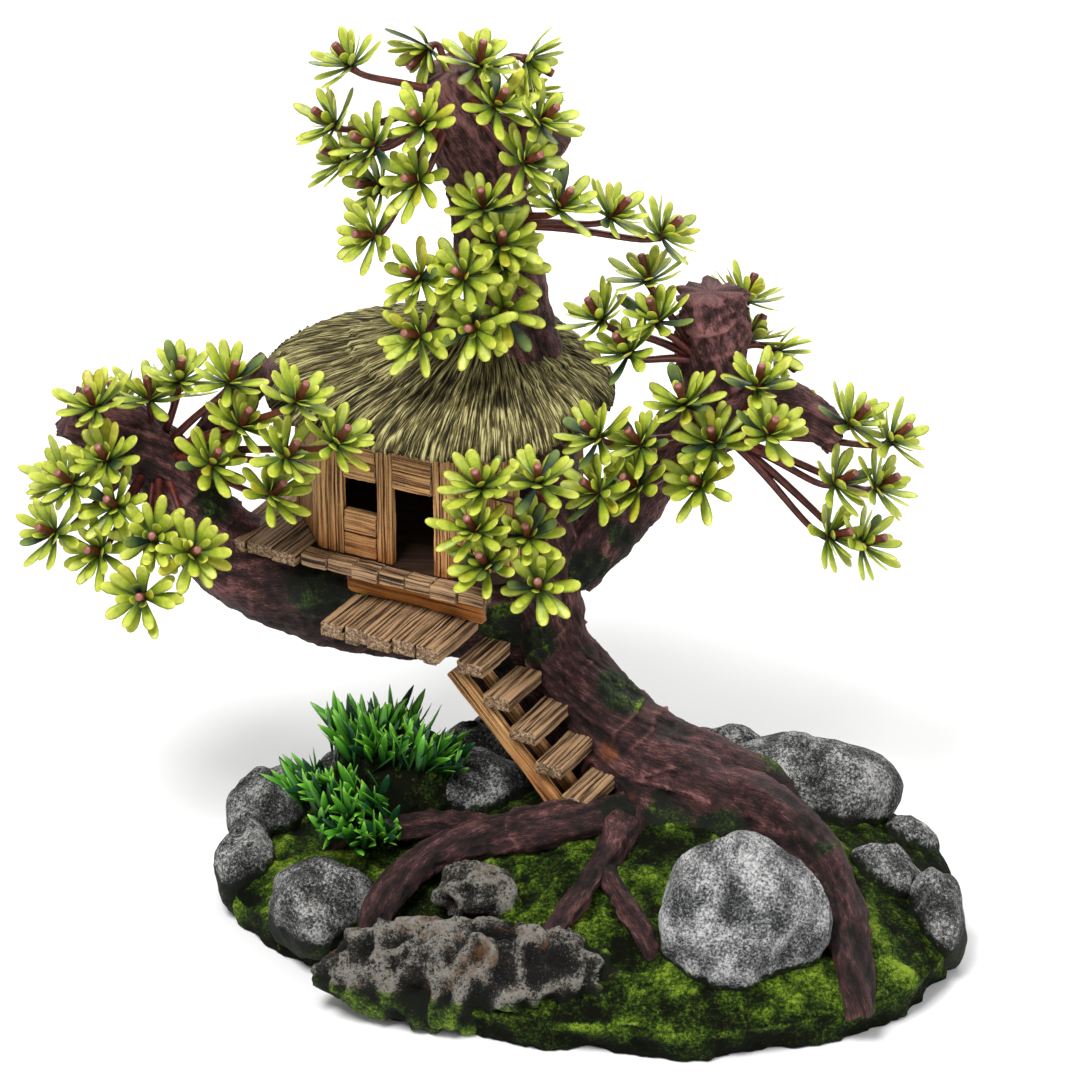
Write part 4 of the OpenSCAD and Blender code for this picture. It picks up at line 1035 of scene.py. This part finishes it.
SPRAYS = {"left": [-112, 56, 108], "top": [-33, 62, 204], "middle": [-24, 58, 172],
          "right_upper": [28, 50, 138], "right": [36, 46, 118], "front": [-11, 42, 98]}
WHORLS = [(8, 10.2, 1.6, 0.12, 0.16), (7, 8.9, 1.5, 0.58, 0.14), (4, 4.8, 1.2, 0.95, 0.2)]
PEG_LENGTH, TWIG_RINGS = 8.8, 14
rng = np.random.default_rng(7)
for spray, hub in SPRAYS.items():
    hub = np.array(hub, float)
    feet, ways = rosette_places("leaves_" + spray, hub)
    count = len(feet)
    whorls = []
    for level, (number, length, width, rise, cup) in enumerate(WHORLS):
        foot, way = np.repeat(feet, number, 0), np.repeat(ways, number, 0)
        n = len(foot)
        turn = (np.tile(np.arange(number), count) * 2 * np.pi / number
                + np.repeat(rng.uniform(0, 6.28, count), number) + rng.uniform(-0.22, 0.22, n))
        mood = np.repeat(rng.uniform(0, 1, count), number)
        shade = np.where(rng.uniform(0, 1, n) < 0.7, 0.3 + 0.5 * mood, rng.uniform(0, 1, n))
        rises = rise + rng.uniform(-0.22, 0.22, n)
        lengths, widths = length * rng.uniform(0.86, 1.1, n), width * rng.uniform(0.85, 1.12, n)
        cups = cup + rng.uniform(-0.1, 0.12, n)
        whorls.append(leaf_skins(foot + 0.5 * level * way, way, turn, rises, lengths, widths,
                                 shade, cups))
    piece("rosettes_" + spray, whorls, leaf_finish, "leaf_plastic", "leaves_" + spray)
    t = np.array([0.0, 0.3, 0.6, 0.9, 0.98, 1.0])[None, :, None]
    peg = feet[:, None] + ways[:, None] * PEG_LENGTH * t
    pegs = tubes_between(peg, np.array([1.2, 1.15, 1.1, 1.15, 1.0, 0.6]), 10)
    reach = np.broadcast_to(t, pegs.shape[:3])
    t = np.linspace(0, 1, TWIG_RINGS)[None, :, None]
    middle = (hub + feet) / 2 + np.array([0, 0, 3.0]) + rng.uniform(-1.5, 1.5, (count, 3))
    near, tip = feet - ways * 5.0, feet + ways * 0.8
    bend = ((1 - t)**3 * hub + 3 * (1 - t)**2 * t * middle[:, None]
            + 3 * (1 - t) * t**2 * near[:, None] + t**3 * tip[:, None])
    radii = np.interp(t.ravel(), [0, 0.5, 0.9, 1], [1.25, 0.95, 0.85, 1.4])
    twigs = tubes_between(bend, radii, 7)
    piece("twigs_and_pegs_" + spray,
          [many(pegs, reach=reach), many(twigs, reach=np.zeros(twigs.shape[:3]))],
          twig_finish, "twig_plastic", "twigs_" + spray)

# %% [markdown]
# ## Grass tuft
# The tuft is moulded plastic: pointed blades that fan out of ten clumps on the mound, dark
# at the foot and bright at the tip. A blade is a flat tube whose width runs out to a point.

# %% Grass
CLUMPS = np.array([[-66, 14, 30, 14], [-72, 22, 28, 12], [-58, 22, 40, 14], [-48, 18, 41, 14],
                   [-38, 20, 38, 12], [-58, 8, 32, 12], [-50, 30, 41, 12], [-62, 32, 38, 12],
                   [-64, 4, 27, 10], [-54, 2, 27, 10]], float)
BLADES = 44
CENTRE, UPWARD = (-52, 24), 30
foot = np.repeat(CLUMPS[:, :3], BLADES, 0)
foot = foot + rng.uniform(-5.5, 5.5, foot.shape) * [1, 1, 0.35]
tall = np.repeat(CLUMPS[:, 3], BLADES) * rng.uniform(0.8, 1.3, len(foot))
lean = np.column_stack([CLUMPS[:, :2] - CENTRE, np.full(len(CLUMPS), UPWARD)])
lean = unit(np.repeat(lean, BLADES, 0))
lean = unit(lean + 0.55 * unit(rng.normal(size=foot.shape)))
t = np.array([0.0, 0.2, 0.4, 0.6, 0.8, 0.95])[None, :, None]
droop = rng.uniform(-0.25, 0.05, len(foot))[:, None, None]
line = (foot[:, None] - 3.5 * lean[:, None] + (tall[:, None, None] * t) * lean[:, None]
        + (tall[:, None, None] * droop * t**2) * np.array([0, 0, 1.0]))
side = unit(np.cross(lean, unit(rng.normal(size=foot.shape))))
flat = np.cross(lean, side)
half = np.array([0.5, 0.9, 1.2, 1.15, 0.7, 0.12])[None, :, None]
w = np.linspace(0, 2 * np.pi, 6, endpoint=False)[None, None]
x = half * np.cos(w)
p = (line[:, :, None] + x[..., None] * side[:, None, None]
     + (0.22 * np.sin(w) * half + 0.22 * np.abs(x))[..., None] * flat[:, None, None])
f = Finish("grass_plastic")
blade = f.ramp(f.mark("reach"), (0.0, tint(8, 26, 6)), (0.4, tint(34, 92, 20)),
               (0.75, tint(82, 154, 34)), (1.0, tint(138, 196, 66)))
dark = f.ramp(f.mark("reach"), (0.0, tint(6, 20, 8)), (1.0, tint(24, 74, 40)))
blade = f.mix(f.ramp(f.mark("shade"), (0.2, 1.0), (0.3, 0.0)), blade, dark)
grass_finish = f.finish(blade, 0.4, f.grain(1.0, 3), 0.1, 0.4, 0.5)
tone = np.broadcast_to(rng.uniform(0, 1, len(foot))[:, None, None], p.shape[:3])
piece("grass_blades", [many(p, reach=np.broadcast_to(t, p.shape[:3]), shade=tone)], grass_finish,
      "grass_plastic", "grass_tuft")

# %% [markdown]
# ## The hut floor
# The floor shows through the doorway and as a dark edge under the walls, so the CAD's own
# solid stays and takes a dark board finish that reads nothing but object coordinates.

# %% Floor finish
f = Finish("floor_boards")
wood = f.ramp(f.grain(1.2, 5, 0.7, (8, 1, 1)), (0.35, tint(16, 9, 4)), (0.65, tint(62, 40, 22)))
floor_finish = f.finish(wood, 0.75, f.grain(0.8, 4), 0.2)
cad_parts["hut_floor"].material_slots[0].material = floor_finish
print("finish:", floor_finish.name)

# %% [markdown]
# ## Floor, light and camera
# A plain pale floor and three large soft lamps give the even light of a product picture. The
# camera stands in front and looks down at 27 degrees.

# %% Stage
LENS, SENSOR, LOOK_DOWN = 141, 36, 27  # millimetres, and degrees below level
bpy.ops.mesh.primitive_plane_add(size=6.0, location=(0, 0, -0.4 * MM))
floor = bpy.context.object
floor.name = "studio_floor"
f = Finish("studio_floor")
white = f.ramp(f.grain(400, 1), (0.3, tint(240, 240, 240)), (0.7, tint(242, 242, 242)))
floor.data.materials.append(f.finish(white, 0.9))
bpy.context.scene.view_settings.view_transform = "Standard"
world = bpy.context.scene.world or bpy.data.worlds.new("studio")
bpy.context.scene.world = world
world.use_nodes = True
sky = world.node_tree.nodes["Background"]
sky.inputs["Color"].default_value = (1, 1, 1, 1)
sky.inputs["Strength"].default_value = 0.5


def soft_lamp(name, at, toward, size, power):
    """A square lamp of that size in metres, turned to face a point."""
    light = bpy.data.lights.new(name, "AREA")
    light.size, light.energy = size, power
    lamp = bpy.data.objects.new(name, light)
    lamp.location = at
    lamp.rotation_euler = (Vector(toward) - lamp.location).to_track_quat("-Z", "Y").to_euler()
    bpy.context.scene.collection.objects.link(lamp)


soft_lamp("key", (-0.35, -0.45, 1.15), (0, 0.02, 0.1), 0.45, 15)
soft_lamp("fill", (0.8, -0.6, 0.5), (0, 0.02, 0.1), 0.6, 4)
soft_lamp("rim", (0.2, 0.8, 0.7), (0, 0.02, 0.12), 0.6, 6)
camera_data = bpy.data.cameras.new("camera")
camera_data.lens, camera_data.sensor_width = LENS, SENSOR
camera = bpy.data.objects.new("camera", camera_data)
camera.location = (-0.01248, -0.93465, 0.58860)
camera.rotation_euler = (np.radians(90 - LOOK_DOWN), 0, 0)
bpy.context.scene.collection.objects.link(camera)
bpy.context.scene.camera = camera

# %% Sizes, and the end
print("triangles in all:", sum(made.values()), "and in the largest piece:", max(made.values()))
